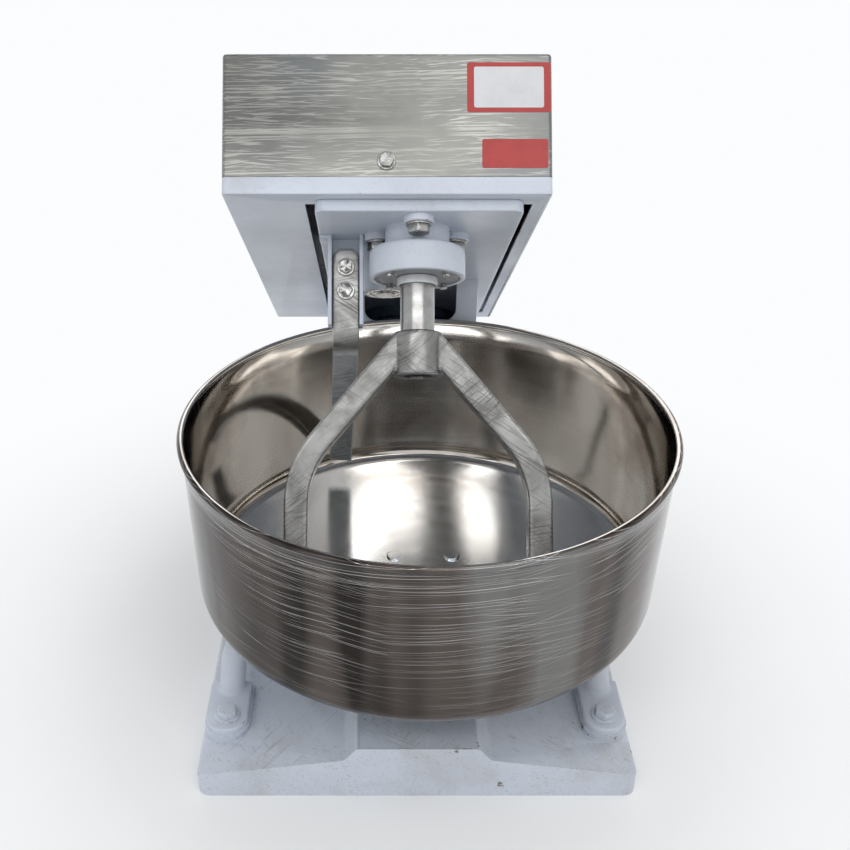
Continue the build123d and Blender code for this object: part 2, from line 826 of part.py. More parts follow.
def large_pulley():
    outer = large_pitch_radius + belt_height / 2 + groove_lip
    inner = large_pitch_radius - belt_height / 2 - groove_floor - pulley_rim
    rim = ring(outer, inner, -pulley_width / 2, pulley_width / 2)
    wheel = rim + disc(inner, -pulley_web / 2, pulley_web / 2)
    wheel -= turned(groove_face(large_pitch_radius))
    for spot in PolarLocations(web_hole_reach, web_holes):
        wheel -= spot * Cylinder(web_hole_radius, pulley_web)
    wheel += disc(pulley_hub_radius, pulley_hub_low - belt_level, pulley_hub_high - belt_level)
    bore = counter_radius + running_fit
    wheel -= disc(bore, pulley_hub_low - belt_level, pulley_hub_high - belt_level)
    return Pos(counter_x, counter_y, belt_level) * wheel


def pulley_nut():
    flats = 2 * counter_radius + 2 * lid_thick
    nut = extrude(RegularPolygon(flats / 2, 6, major_radius=False), counter_nut_height)
    nut -= disc(counter_radius + running_fit, 0, counter_nut_height)
    return Pos(counter_x, counter_y, pulley_hub_high) * nut


def motor_pulley():
    outer = small_pitch_radius + belt_height / 2 + groove_lip
    wheel = disc(outer, -pulley_width / 2, pulley_width / 2)
    wheel -= turned(groove_face(small_pitch_radius))
    wheel += disc(2 * motor_shaft_radius, motor_hub_low - belt_level, -pulley_width / 2)
    wheel -= disc(motor_shaft_radius + running_fit, motor_hub_low - belt_level, pulley_width / 2)
    return Pos(0, motor_y, belt_level) * wheel


def belt_section():
    shrink = belt_height * tan(radians(belt_angle / 2))
    low = belt_width / 2 - shrink
    half = belt_height / 2
    points = [(-half, -low), (half, -belt_width / 2), (half, belt_width / 2), (-half, low)]
    return make_face(Polyline(*points, close=True))


def v_belt():
    run_x = -counter_x
    run_y = motor_y - counter_y
    centres = hypot(run_x, run_y)
    along = degrees(atan2(run_y, run_x))
    wrap = degrees(acos((large_pitch_radius - small_pitch_radius) / centres))
    run = sqrt(centres ** 2 - (large_pitch_radius - small_pitch_radius) ** 2)
    large_loop = belt_arc(large_pitch_radius, along + wrap, 360 - 2 * wrap)
    small_loop = belt_arc(small_pitch_radius, along - wrap, 2 * wrap)
    belt = Pos(counter_x, counter_y, belt_level) * large_loop
    belt += Pos(0, motor_y, belt_level) * small_loop
    for side in (-1, 1):
        angle = along + side * wrap
        out = Vector(cos(radians(angle)), sin(radians(angle)), 0)
        start = Vector(counter_x, counter_y, belt_level) + out * large_pitch_radius
        end = Vector(0, motor_y, belt_level) + out * small_pitch_radius
        belt += extrude(Plane(start, out, end - start) * belt_section(), run)
    return belt


def belt_arc(pitch, start, sweep_angle):
    section = Plane.XZ * Pos(pitch, 0) * belt_section()
    return Rot(0, 0, start) * revolve(section, Axis.Z, revolution_arc=sweep_angle)


def fork_path():
    centre = fork_reach - fork_arm / 2
    start = fork_hub_radius / 2
    bend = fork_root - (centre - start) / tan(radians(fork_slope))
    points = [(start, 0, fork_root), (centre, 0, bend), (centre, 0, -fork_tip)]
    return FilletPolyline(*points, radius=fork_bend)


def fork():
    path = fork_path()
    section = Plane(path @ 0, (0, 1, 0), path % 0) * RectangleRounded(fork_width, fork_arm, fork_edge)
    prong = sweep(section, path)
    prong = fillet(prong.faces().sort_by(Axis.Z)[0].edges(), fork_edge / 2)
    hub = disc(fork_hub_radius, 0, fork_hub_length)
    hub = chamfer(hub.edges().group_by(Axis.Z)[-1], fork_edge)
    wishbone = hub + prong + mirror(prong, Plane.YZ)
    wishbone -= disc(spindle_radius + running_fit, spindle_socket, fork_hub_length)
    wishbone -= disc(fork_cup_radius, 0, fork_cup_depth)
    return wishbone - disc(cover_bolt[3] + hole_fit, fork_cup_depth, spindle_socket)


def fork_bolt():
    shank = spindle_socket - fork_cup_depth + fork_bolt_depth - lid_recess
    return Pos(0, 0, fork_cup_depth) * Rot(180, 0, 0) * hex_bolt(cover_bolt, shank)


def motor_front_shield():
    low = plate_low - front_shield
    shield = disc(motor_radius, low, plate_low, 0, motor_y)
    shield += disc(motor_pilot_radius - lid_seat, plate_low, plate_low + plate_thick / 2, 0, motor_y)
    shield -= disc(motor_shaft_radius + running_fit, low, plate_high, 0, motor_y)
    for x, y in motor_bolt_places():
        shield -= disc(cover_bolt[3] + hole_fit, low, plate_low, x, y)
    return shield


def motor_body():
    high = plate_low - front_shield
    fin_root = (motor_core_radius + rotor_radius) / 2
    fin = block((fin_root, motor_radius), (-fin_thick / 2, fin_thick / 2), (motor_low, high))
    fins = [spot * fin for spot in PolarLocations(0, motor_fins)]
    barrel = disc(motor_core_radius, motor_low, high) + fins
    return Pos(0, motor_y, 0) * (barrel - disc(rotor_radius + air_gap, motor_low, high))


def motor_bolts():
    shank = plate_thick + front_shield - lid_recess
    return group([Pos(x, y, plate_high) * hex_bolt(cover_bolt, shank) for x, y in motor_bolt_places()])


def motor_rear_shield():
    radius = fan_cover_radius - fan_cover_sheet - lid_seat
    return ring(radius, motor_shaft_radius + running_fit, shield_low, motor_low, 0, motor_y)


def fan_cover():
    high = shield_low + rear_shield / 2
    floor = fan_cover_low + fan_cover_sheet
    cup = disc(fan_cover_radius, fan_cover_low, high)
    cup = fillet(cup.edges().group_by(Axis.Z)[0], cover_bend)
    cup -= disc(fan_cover_radius - fan_cover_sheet, floor, high)
    slot = extrude(SlotOverall(fan_radius / 2, grille_slot), fan_cover_sheet)
    for spot in PolarLocations(fan_radius / 2 + grille_slot, grille_slots):
        cup -= Pos(0, 0, fan_cover_low) * spot * slot
    return Pos(0, motor_y, 0) * cup


def motor_shaft():
    high = plate_low - front_shield
    shaft = disc(motor_shaft_radius, fan_low, pulley_low + pulley_width)
    shaft += disc(rotor_radius, motor_low + rear_shield, high - rear_shield)
    return Pos(0, motor_y, 0) * shaft


def cooling_fan():
    high = shield_low - fan_room
    blade_foot = high - fan_blade_thick
    blade = block((motor_shaft_radius, fan_radius), (0, fan_blade_thick), (fan_low, blade_foot))
    fan = disc(fan_radius, blade_foot, high) + disc(2 * motor_shaft_radius, fan_low, high)
    fan += [spot * blade for spot in PolarLocations(0, fan_blades)]
    fan -= disc(motor_shaft_radius + running_fit, fan_low, high)
    return Pos(0, motor_y, 0) * fan


def to_head(point):
    x, y, z = point
    rise = z - hub_height
    return (x, lean_cos * y - lean_sin * rise, lean_sin * y + lean_cos * rise)


def scraper_bolt_places():
    front = scraper_y - scraper_thick / 2
    return [Pos(bracket_x, front, plate_low - drop) * Rot(90, 0, 0) for drop in scraper_bolts_down]


def scraper_bracket():
    left = bracket_x - bracket_width / 2
    right = bracket_x + bracket_width / 2
    y_span = (bracket_y - bracket_depth / 2, bracket_y + bracket_depth / 2)
    levels = (plate_low - bracket_length, plate_low)
    channel = block((left, right), y_span, levels)
    inside_x = (left + bracket_sheet, right - bracket_sheet)
    channel -= block(inside_x, (y_span[0], y_span[1] - bracket_sheet), levels)
    channel += block((left - bracket_flange, left), y_span, (plate_low - bracket_sheet, plate_low))
    for place in scraper_bolt_places():
        channel -= place * disc(bracket_bolt[3] + hole_fit, -scraper_thick - bracket_sheet, 0)
    return channel


def scraper_bar():
    top = (bracket_x, scraper_y, plate_low - scraper_top_drop)
    knee = (bracket_x, scraper_y, plate_low - bracket_length - scraper_bend_drop)
    path = FilletPolyline(top, knee, to_head(scraper_tip), radius=scraper_bend)
    section = Plane(path @ 0, (1, 0, 0), path % 0) * Rectangle(scraper_width, scraper_thick)
    bar = sweep(section, path)
    top_corners = bar.edges().filter_by(Axis.Y).group_by(Axis.Z)[-1]
    bar = chamfer(top_corners, scraper_chamfer)
    for place in scraper_bolt_places():
        bar -= place * disc(bracket_bolt[3] + hole_fit, -scraper_thick, 0)
    return bar


def scraper_bolts():
    shank = scraper_thick + bracket_sheet + bracket_bolt[1]
    return group([place * hex_bolt(bracket_bolt, shank) for place in scraper_bolt_places()])


upright_pieces = [base, bowl_stand, stand_bolts, bowl_bush, bowl_thrust_bearing]
upright_pieces += [bowl, bowl_hub, hub_bolts, bowl_circlip, column, column_bolts, cable_gland]
leaning_pieces = [rear_panel, rear_panel_screws, head_plate, cover_rail, belt_cover, cover_bolts]
leaning_pieces += [gear_housing, housing_bolts, housing_lid, lid_screws, shaft_seal]
leaning_pieces += [spindle_bearing_lower, spindle_bearing_upper, countershaft_tube]
leaning_pieces += [countershaft_bearing_lower, countershaft_bearing_upper]
leaning_pieces += [spindle, spindle_gear, gear_nut, fork, fork_bolt]
leaning_pieces += [pinion_shaft, large_pulley, pulley_nut, v_belt]
leaning_pieces += [motor_front_shield, motor_body, motor_rear_shield, fan_cover, motor_bolts]
leaning_pieces += [motor_shaft, motor_pulley, cooling_fan]
leaning_pieces += [scraper_bracket, scraper_bar, scraper_bolts]

os.makedirs("parts", exist_ok=True)
for make in upright_pieces:
    export_step(make(), f"parts/{make.__name__}.step")
for make in leaning_pieces:
    export_step(head_place * make(), f"parts/{make.__name__}.step")
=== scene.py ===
import json
import math
from types import SimpleNamespace

import bmesh
import bpy
from mathutils import Matrix, Vector


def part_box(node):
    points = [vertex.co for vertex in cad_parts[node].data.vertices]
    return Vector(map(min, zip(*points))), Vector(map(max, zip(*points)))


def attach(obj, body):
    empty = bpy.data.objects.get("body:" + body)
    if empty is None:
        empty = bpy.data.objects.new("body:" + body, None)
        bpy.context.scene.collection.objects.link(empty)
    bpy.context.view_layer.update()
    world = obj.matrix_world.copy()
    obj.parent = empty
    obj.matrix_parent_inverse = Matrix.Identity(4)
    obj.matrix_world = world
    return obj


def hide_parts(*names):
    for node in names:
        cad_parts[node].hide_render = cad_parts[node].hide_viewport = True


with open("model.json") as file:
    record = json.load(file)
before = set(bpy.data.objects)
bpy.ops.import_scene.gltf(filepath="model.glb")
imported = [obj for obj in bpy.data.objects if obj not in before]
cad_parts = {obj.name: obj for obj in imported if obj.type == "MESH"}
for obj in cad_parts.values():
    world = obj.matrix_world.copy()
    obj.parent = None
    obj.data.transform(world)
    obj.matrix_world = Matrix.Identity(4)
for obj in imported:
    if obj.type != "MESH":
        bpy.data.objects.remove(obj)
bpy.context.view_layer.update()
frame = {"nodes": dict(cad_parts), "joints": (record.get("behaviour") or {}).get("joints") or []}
nodes = frame["nodes"]
mm = 0.001
print("frame loaded:", len(nodes), "nodes")


# Places read from the frame; pieces are drawn in millimetres and set down in its metres

def jointNamed(name):
    return next(joint for joint in frame["joints"] if joint["name"] == name)


def headMatrix():
    joint = jointNamed("fork_turn")
    up = Vector(joint["axis"]).normalized()
    side = Vector((1, 0, 0))
    place = Matrix((side, up.cross(side), up)).transposed().to_4x4()
    place.translation = Vector(joint["pos_m"])
    return place


head = headMatrix()
bowlAxis = Vector(jointNamed("bowl_turn")["pos_m"])
toMetres = Matrix.Scale(mm, 4)
upright = Matrix.Identity(4)
atBowl = Matrix.Translation((bowlAxis.x, bowlAxis.y, 0))
pairs = [(x, y) for x in (-1, 1) for y in (-1, 1)]


def named(values):
    # a dict's entries as plain names
    return SimpleNamespace(**values)


# Mesh tools

def shaded(piece, sharp=35):
    piece.data.shade_smooth()
    piece.data.set_sharp_from_angle(angle=math.radians(sharp))
    return piece


def linked(data):
    piece = bpy.data.objects.new(data.name, data)
    bpy.context.scene.collection.objects.link(piece)
    return piece


def drafted(bm, sharp=35):
    mesh = bpy.data.meshes.new("draft")
    bm.to_mesh(mesh)
    bm.free()
    return shaded(linked(mesh), sharp)


def pieceFrom(bm, sharp=35):
    bmesh.ops.recalc_face_normals(bm, faces=bm.faces)
    return drafted(bm, sharp)


def settle(piece):
    bpy.context.view_layer.update()
    seen = piece.evaluated_get(bpy.context.evaluated_depsgraph_get())
    mesh = bpy.data.meshes.new_from_object(seen)
    piece.modifiers.clear()
    piece.data = mesh
    return piece


def modify(piece, kind, **settings):
    modifier = piece.modifiers.new(kind, kind)
    for key, value in settings.items():
        setattr(modifier, key, value)
    return modifier


def bevelled(piece, width, segments=3, angle=30):
    modify(piece, "BEVEL", width=width, segments=segments, limit_method="ANGLE",
           angle_limit=math.radians(angle), harden_normals=False)
    return settle(piece)


def cutBy(piece, cutters, kind="DIFFERENCE"):
    for cutter in cutters:
        modify(piece, "BOOLEAN", operation=kind, solver="EXACT", object=cutter)
    settle(piece)
    for cutter in cutters:
        bpy.data.objects.remove(cutter)
    return piece


def castAs(piece, voxel, rounds):
    modify(piece, "REMESH", mode="VOXEL", voxel_size=voxel)
    modify(piece, "SMOOTH", iterations=rounds, factor=0.5)
    settle(piece)
    piece.data.shade_smooth()
    return piece


def joined(pieces):
    bm = bmesh.new()
    for piece in pieces:
        bm.from_mesh(piece.data)
        bpy.data.objects.remove(piece)
    return drafted(bm)


def placed(piece, matrix):
    piece.data.transform(matrix)
    return piece


def shifted(piece, x, y, z=0):
    return placed(piece, Matrix.Translation((x, y, z)))


def circlePoint(radius, angle):
    return radius * math.cos(angle), radius * math.sin(angle)


def cornerArc(before, here, after, radius):
    # centre of the arc that rounds a corner, the ways to its two ends, and half the corner's angle
    a = (Vector(before) - here).normalized()
    b = (Vector(after) - here).normalized()
    half = a.angle(b) / 2
    reach = radius / math.tan(half)
    centre = here + (a + b).normalized() * (radius / math.sin(half))
    return centre, here + a * reach - centre, here + b * reach - centre, half


def rounded(points, radii, steps=6):
    # a 2D outline with its corners turned into arcs
    out = []
    last = len(points) - 1
    for i, point in enumerate(points):
        here = Vector(point)
        if radii[i] == 0 or i in (0, last):
            out.append(here)
            continue
        centre, start, end = cornerArc(points[i - 1], here, points[i + 1], radii[i])[:3]
        swing = math.atan2(start.x * end.y - start.y * end.x, start.dot(end))
        out += [centre + Matrix.Rotation(swing * k / steps, 2) @ start for k in range(steps + 1)]
    return out


def rectLoop(left, right, front, rear, radius, steps=5):
    points = [(left, front), (right, front), (right, rear), (left, rear)]
    loop = []
    for i in range(4):
        three = [points[i - 1], points[i], points[(i + 1) % 4]]
        loop += rounded(three, [0, max(radius, 0.02), 0], steps)[1:-1]
    return loop


def bridgeRings(bm, low, high, count):
    for k in range(count):
        n = (k + 1) % count
        if len(low) == 1:
            bm.faces.new((low[0], high[n], high[k]))
        elif len(high) == 1:
            bm.faces.new((low[k], low[n], high[0]))
        else:
            bm.faces.new((low[k], low[n], high[n], high[k]))


def turnedBody(profile, segments=96, sharp=35):
    # a profile of (radius, height) pairs spun round the upright axis
    bm = bmesh.new()
    rings = []
    for radius, height in profile:
        if radius < 1e-6:
            rings.append([bm.verts.new((0, 0, height))])
            continue
        spots = [circlePoint(radius, 2 * math.pi * k / segments) for k in range(segments)]
        rings.append([bm.verts.new((*spot, height)) for spot in spots])
    closed = len(rings[0]) > 1
    for low, high in zip(rings, rings[1:] + rings[:1] if closed else rings[1:]):
        bridgeRings(bm, low, high, segments)
    return pieceFrom(bm, sharp)


def rod(radius, low, high, segments, foot=0, top=0, steps=4):
    # a plain cylinder, its foot and top edges turned round
    profile = [(0, low), (radius, low), (radius, high), (0, high)]
    return turnedBody(rounded(profile, [0, foot, top, 0], steps), segments)


def prism(outline, low, high):
    bm = bmesh.new()
    base = [bm.verts.new((p[0], p[1], low)) for p in outline]
    top = [bm.verts.new((p[0], p[1], high)) for p in outline]
    bm.faces.new(base)
    bm.faces.new(top)
    bridgeRings(bm, base, top, len(outline))
    return pieceFrom(bm)


def alongY(outline, front, rear):
    # a prism of an (x, z) outline, carried front to rear
    return placed(prism(outline, -rear, -front), Matrix.Rotation(math.pi / 2, 4, "X"))


def slab(low, high):
    outline = [(low[0], low[1]), (high[0], low[1]), (high[0], high[1]), (low[0], high[1])]
    return prism(outline, low[2], high[2])


def sweptBar(path, section, firstSide):
    # a closed section carried along a line of points, its side kept square to the line
    bm = bmesh.new()
    rings = []
    side = Vector(firstSide).normalized()
    for i, point in enumerate(path):
        ahead = path[min(i + 1, len(path) - 1)] - path[max(i - 1, 0)]
        ahead.normalize()
        side = (side - ahead * side.dot(ahead)).normalized()
        other = ahead.cross(side)
        rings.append([bm.verts.new(point + side * u + other * v) for u, v in section])
    for low, high in zip(rings, rings[1:]):
        bridgeRings(bm, low, high, len(section))
    bm.faces.new(rings[0])
    bm.faces.new(rings[-1])
    return pieceFrom(bm)


def bentLine(points, radius, steps, gap):
    # straight runs joined by arcs, in space, with points no more than about the gap apart
    spots = [Vector(p) for p in points]
    line = [spots[0]]
    for before, here, after in zip(spots, spots[1:], spots[2:]):
        centre, start, end, half = cornerArc(before, here, after, radius)
        turn = math.pi - 2 * half
        axis = start.cross(end).normalized()
        line += [centre + Matrix.Rotation(turn * k / steps, 3, axis) @ start for k in range(steps + 1)]
    line.append(spots[-1])
    out = [line[0]]
    for a, b in zip(line, line[1:]):
        count = max(1, round((b - a).length / gap))
        out += [a.lerp(b, k / count) for k in range(1, count + 1)]
    return out


def sagArc(a, b, sag, steps):
    # points of the arc from a to b that bows out by sag to the right of the way
    a, b = Vector(a), Vector(b)
    chord = b - a
    half = chord.length / 2
    radius = (half * half + sag * sag) / (2 * sag)
    side = Vector((chord.y, -chord.x)).normalized()
    centre = (a + b) / 2 + side * (sag - radius)
    start = a - centre
    swing = 2 * math.asin(min(1.0, half / radius))
    return [centre + Matrix.Rotation(swing * k / steps, 2) @ start for k in range(steps + 1)]


# Shader tools

shaderInputs = {"color": "Base Color", "rough": "Roughness", "metal": "Metallic", "normal": "Normal",
                "coat": "Coat Weight", "coatRough": "Coat Roughness"}


class nodeNet:
    def __init__(self, tree):
        self.tree = tree

    def wire(self, value, socket):
        # a link from another node, or else a plain setting
        if isinstance(value, bpy.types.NodeSocket):
            self.tree.links.new(value, socket)
        else:
            socket.default_value = value

    def put(self, kind, values=None, **settings):
        node = self.tree.nodes.new(kind)
        for key, value in settings.items():
            setattr(node, key, value)
        for key, value in (values or {}).items():
            self.wire(value, node.inputs[key])
        return node

    def noise(self, vector, scale, detail=2.0, rough=0.5, distort=0.0):
        values = {"Vector": vector, "Scale": scale, "Detail": detail, "Roughness": rough,
                  "Distortion": distort}
        return self.put("ShaderNodeTexNoise", values).outputs["Fac"]

    def ranged(self, value, low, high, outLow=0.0, outHigh=1.0):
        values = {"Value": value, "From Min": low, "From Max": high, "To Min": outLow, "To Max": outHigh}
        return self.put("ShaderNodeMapRange", values).outputs["Result"]

    def math(self, operation, a, b=0.0):
        return self.put("ShaderNodeMath", {0: a, 1: b}, operation=operation).outputs[0]

    def times(self, a, b):
        return self.math("MULTIPLY", a, b)

    def plus(self, a, b):
        return self.math("ADD", a, b)

    def minus(self, a, b):
        return self.math("SUBTRACT", a, b)

    def vector(self, operation, a, b=(0.0, 0.0, 0.0), result="Vector"):
        return self.put("ShaderNodeVectorMath", {0: a, 1: b}, operation=operation).outputs[result]

    def split(self, vector):
        return self.put("ShaderNodeSeparateXYZ", {0: vector}).outputs

    def merge(self, *parts):
        return self.put("ShaderNodeCombineXYZ", dict(enumerate(parts))).outputs[0]

    def mix(self, factor, first, second):
        return self.put("ShaderNodeMix", {0: factor, 6: first, 7: second}, data_type="RGBA").outputs[2]

    def toned(self, value, low, high, first, second):
        return self.mix(self.ranged(value, low, high), first, second)

    def laid(self, mask, share, under, over):
        return self.mix(self.times(mask, share), under, over)

    def group(self, tree, **values):
        return self.put("ShaderNodeGroup", values, node_tree=tree).outputs

    def normals(self):
        return self.put("ShaderNodeTexCoord").outputs["Normal"]

    def wear(self):
        return self.put("ShaderNodeAttribute", attribute_name="wear").outputs["Fac"]

    def bump(self, height, strength, distance, **more):
        values = {"Height": height, "Strength": strength, "Distance": distance, **more}
        return self.put("ShaderNodeBump", values).outputs["Normal"]

    def mapped(self, location, rotation=(0.0, 0.0, 0.0)):
        values = {"Vector": self.coords, "Location": location, "Rotation": rotation}
        return self.put("ShaderNodeMapping", values, vector_type="TEXTURE").outputs[0]

    def inHead(self):
        return self.mapped(head.translation, head.to_euler())

    def aboutBowl(self):
        return self.mapped(bowlAxis)

    def hair(self, vector, stretch, share, tilts):
        # hairlines laid over each other at several slants
        total = 0.0
        for tilt in tilts:
            lines = self.group(hairNodes, Vector=vector, Tilt=tilt, Stretch=stretch, Share=share)
            total = self.math("MAXIMUM", total, lines["Mask"])
        return total

    def close(self, **outputs):
        for label, value in outputs.items():
            self.wire(value, self.take[label])
        return self.tree

    def feed(self, **links):
        for key, value in links.items():
            self.wire(value, self.shader.inputs[shaderInputs[key]])
        return self.material


def newMaterial(name):
    material = bpy.data.materials.new(name)
    material.use_nodes = True
    net = nodeNet(material.node_tree)
    net.tree.nodes.clear()
    net.material = material
    net.shader = net.put("ShaderNodeBsdfPrincipled")
    net.put("ShaderNodeOutputMaterial", {0: net.shader.outputs[0]})
    net.coords = net.put("ShaderNodeTexCoord").outputs["Object"]
    return net


def newGroup(treeKind, name, inputs, outputs):
    tree = bpy.data.node_groups.new(name, treeKind)
    for label, kind, value in inputs:
        socket = tree.interface.new_socket(label, in_out="INPUT", socket_type="NodeSocket" + kind)
        if value is not None:
            socket.default_value = value
    for label, kind in outputs:
        tree.interface.new_socket(label, in_out="OUTPUT", socket_type="NodeSocket" + kind)
    net = nodeNet(tree)
    net.take = net.put("NodeGroupOutput").inputs
    return net, net.put("NodeGroupInput").outputs


def shaderGroup(name, outputs, **inputs):
    sockets = [("Vector", "Vector", None)]
    for label, value in inputs.items():
        sockets.append((label, "Float" if isinstance(value, float) else "Vector", value))
    net, give = newGroup("ShaderNodeTree", name, sockets, [(label, "Float") for label in outputs])
    return net, give, give["Vector"]


def chipGroup():
    net, give, vector = shaderGroup("paint chips", ["Mask"], Scale=30.0, Amount=0.1, Wear=0.0)
    coarse = net.noise(vector, give["Scale"], 2.0, 0.6)
    fine = net.noise(vector, net.times(give["Scale"], 5.0), 2.0, 0.6)
    mixed = net.plus(net.times(coarse, 0.7), net.times(fine, 0.3))
    worn = net.plus(mixed, net.times(give["Wear"], 0.09))
    over = net.minus(worn, net.minus(0.78, give["Amount"]))
    return net.close(Mask=net.ranged(over, 0.0, 0.015))


def grimeGroup():
    net, give, vector = shaderGroup("grime", ["Mask"], Scale=8.0, Level=0.5)
    wide = net.noise(vector, give["Scale"], 5.0, 0.65, 0.6)
    return net.close(Mask=net.ranged(wide, give["Level"], net.plus(give["Level"], 0.25)))


def brushGroup():
    stretch = (4.0, 900.0, 900.0)
    net, give, vector = shaderGroup("brushed lines", ["Lines", "Streaks"], Stretch=stretch)
    scaled = net.vector("MULTIPLY", vector, give["Stretch"])
    return net.close(Lines=net.noise(scaled, 1.0, 2.0, 0.6), Streaks=net.noise(scaled, 0.12, 3.0, 0.6))


def scratchGroup():
    net, give, vector = shaderGroup("long scratches", ["Mask"], Scale=20.0, Width=0.012, Share=0.5)
    swayed = net.vector("ADD", vector, net.times(net.noise(vector, 6.0), 0.05))
    cells = net.put("ShaderNodeTexVoronoi", {"Vector": swayed, "Scale": give["Scale"]},
                    feature="DISTANCE_TO_EDGE")
    near = net.ranged(cells.outputs["Distance"], give["Width"], 0.0)
    some = net.math("GREATER_THAN", net.noise(vector, 14.0), give["Share"])
    return net.close(Mask=net.times(near, some))


def hairGroup():
    net, give, vector = shaderGroup("hairlines", ["Mask"], Tilt=(0.0, 0.0, 0.0),
                                    Stretch=(5.0, 5.0, 700.0), Share=0.64)
    leant = net.put("ShaderNodeMapping", {"Vector": vector, "Rotation": give["Tilt"]}).outputs[0]
    lines = net.noise(net.vector("MULTIPLY", leant, give["Stretch"]), 1.0, 1.0)
    thin = net.ranged(net.minus(lines, give["Share"]), 0.0, 0.05)
    some = net.ranged(net.noise(leant, 11.0), 0.42, 0.6)
    return net.close(Mask=net.times(thin, some))


def turnGroup():
    net, give, vector = shaderGroup("turning marks", ["Rings", "Bands"], Fineness=1800.0)
    parts = net.split(vector)
    radius = net.vector("LENGTH", net.merge(parts[0], parts[1]), result="Value")
    rings = net.merge(radius, parts[2])
    fine = net.noise(rings, give["Fineness"], 2.0, 0.6)
    return net.close(Rings=fine, Bands=net.noise(rings, 60.0, 3.0, 0.6))


chipNodes = chipGroup()
grimeNodes = grimeGroup()
brushNodes = brushGroup()
scratchNodes = scratchGroup()
hairNodes = hairGroup()
turnNodes = turnGroup()
print("shader groups made")


# Finishes

paint = dict(
    color=(0.60, 0.65, 0.735, 1), shade=(0.52, 0.555, 0.615, 1), bare=(0.17, 0.15, 0.14, 1),
    dirt=(0.36, 0.33, 0.30, 1), scuff=(0.30, 0.30, 0.31, 1), rough=(0.30, 0.48), chipRough=0.25, cloud=7.0,
    peel=420.0, peelShare=0.3, chipScale=26.0, grime=16.0, grimeFrom=0.62, grimeShare=0.35,
    stretch=(16.0, 500.0, 500.0), share=0.64, coat=0.15, coatRough=0.12,
    tilts=[(0, 0, 0.5), (0, 0.2, -0.9), (0.3, 0, 1.2)])


def paintFinish(name, chips, dirt, scuffs):
    s = named(paint)
    net = newMaterial(name)
    coords = net.coords
    cloud = net.noise(coords, s.cloud, 4.0, 0.6)
    color = net.toned(cloud, 0.35, 0.7, s.color, s.shade)
    grime = net.group(grimeNodes, Vector=coords, Scale=s.grime, Level=s.grimeFrom - dirt)["Mask"]
    color = net.laid(grime, s.grimeShare, color, s.dirt)
    scuff = net.hair(coords, s.stretch, s.share, s.tilts)
    color = net.laid(scuff, scuffs, color, s.scuff)
    chip = net.group(chipNodes, Vector=coords, Scale=s.chipScale, Amount=chips, Wear=net.wear())["Mask"]
    color = net.mix(chip, color, s.bare)
    peel = net.noise(coords, s.peel)
    height = net.minus(net.times(peel, s.peelShare), chip)
    rough = net.plus(net.ranged(cloud, 0.3, 0.7, *s.rough), net.times(chip, s.chipRough))
    return net.feed(color=color, rough=rough, normal=net.bump(height, 0.25, 0.0004), coat=s.coat,
                    coatRough=s.coatRough)


# the outside's very dark tone, its dark and bright upright bands and its warm patches are painted
# reflection; the inside's brown clouds are painted brown reflection, and the whiter floor is partly polish
# and partly painted sheen
bowlSteel = dict(
    color=(0.56, 0.53, 0.49, 1), deep=(0.38, 0.335, 0.295, 1), floor=(0.92, 0.95, 0.98, 1),
    outer=(0.104, 0.088, 0.080, 1), outerDark=(0.030, 0.026, 0.024, 1),
    outerBright=(0.185, 0.182, 0.176, 1), outerWarm=(0.105, 0.062, 0.047, 1), hair=(0.80, 0.79, 0.77, 1),
    hairFrom=(0.17, 0.25), hairRough=0.2, hairDepth=-0.6, rough=(0.05, 0.15), floorRough=0.06, crease=0.243,
    fineness=1500.0, cloud=9.0, squeeze=(1.0, 1.0, 0.12), bands=11.0, warm=6.0, stretch=(1.6, 1.6, 1300.0),
    share=0.645, tilts=[(0.12, 0.03, 0), (-0.10, 0.07, 0), (0.03, -0.15, 0)])


def bowlFinish():
    s = named(bowlSteel)
    net = newMaterial("polished bowl steel")
    local = net.aboutBowl()
    level = net.vector("MULTIPLY", local, (1.0, 1.0, 0.0))
    # one on the bowl's outside, nought on its inside
    facing = net.vector("DOT_PRODUCT", net.vector("NORMALIZE", level), net.normals(), "Value")
    outer = net.ranged(facing, 0.0, 0.15)
    reach = net.vector("LENGTH", level, result="Value")
    marks = net.group(turnNodes, Vector=local, Fineness=s.fineness)
    # brown clouds on the inside: painted brown reflection
    cloud = net.noise(net.coords, s.cloud, 4.0, 0.6, 0.4)
    inside = net.toned(cloud, 0.42, 0.68, s.color, s.deep)
    # the whiter floor inside the crease: partly polish, partly painted sheen
    inside = net.toned(reach, s.crease - 0.01, s.crease + 0.001, s.floor, inside)
    # painted reflection on the outside: a very dark tone, upright dark bands, bright bands that are a
    # painted highlight, and warm patches
    squeezed = net.vector("MULTIPLY", local, s.squeeze)
    bands = net.noise(squeezed, s.bands, distort=0.3)
    paintedReflection = net.toned(bands, 0.38, 0.52, s.outerDark, s.outer)
    paintedReflection = net.toned(bands, 0.55, 0.68, paintedReflection, s.outerBright)
    warm = net.ranged(net.noise(squeezed, s.warm, distort=0.6), 0.52, 0.66, 0.0, 0.8)
    color = net.mix(outer, inside, net.mix(warm, paintedReflection, s.outerWarm))
    hair = net.hair(local, s.stretch, s.share, s.tilts)
    hair = net.times(hair, net.ranged(outer, 0.0, 1.0, 0.15, 0.6))
    hair = net.times(hair, net.ranged(net.split(net.coords)[2], *s.hairFrom, 0.25, 1.0))
    color = net.mix(hair, color, s.hair)
    onFloor = net.ranged(reach, s.crease - 0.01, s.crease - 0.03)
    rough = net.ranged(marks["Bands"], 0.3, 0.75, *s.rough)
    rough = net.plus(rough, net.times(onFloor, s.floorRough))
    rough = net.plus(rough, net.times(hair, s.hairRough))
    height = net.plus(marks["Rings"], net.times(hair, s.hairDepth))
    return net.feed(color=color, rough=rough, metal=1.0, normal=net.bump(height, 0.05, 0.0003))


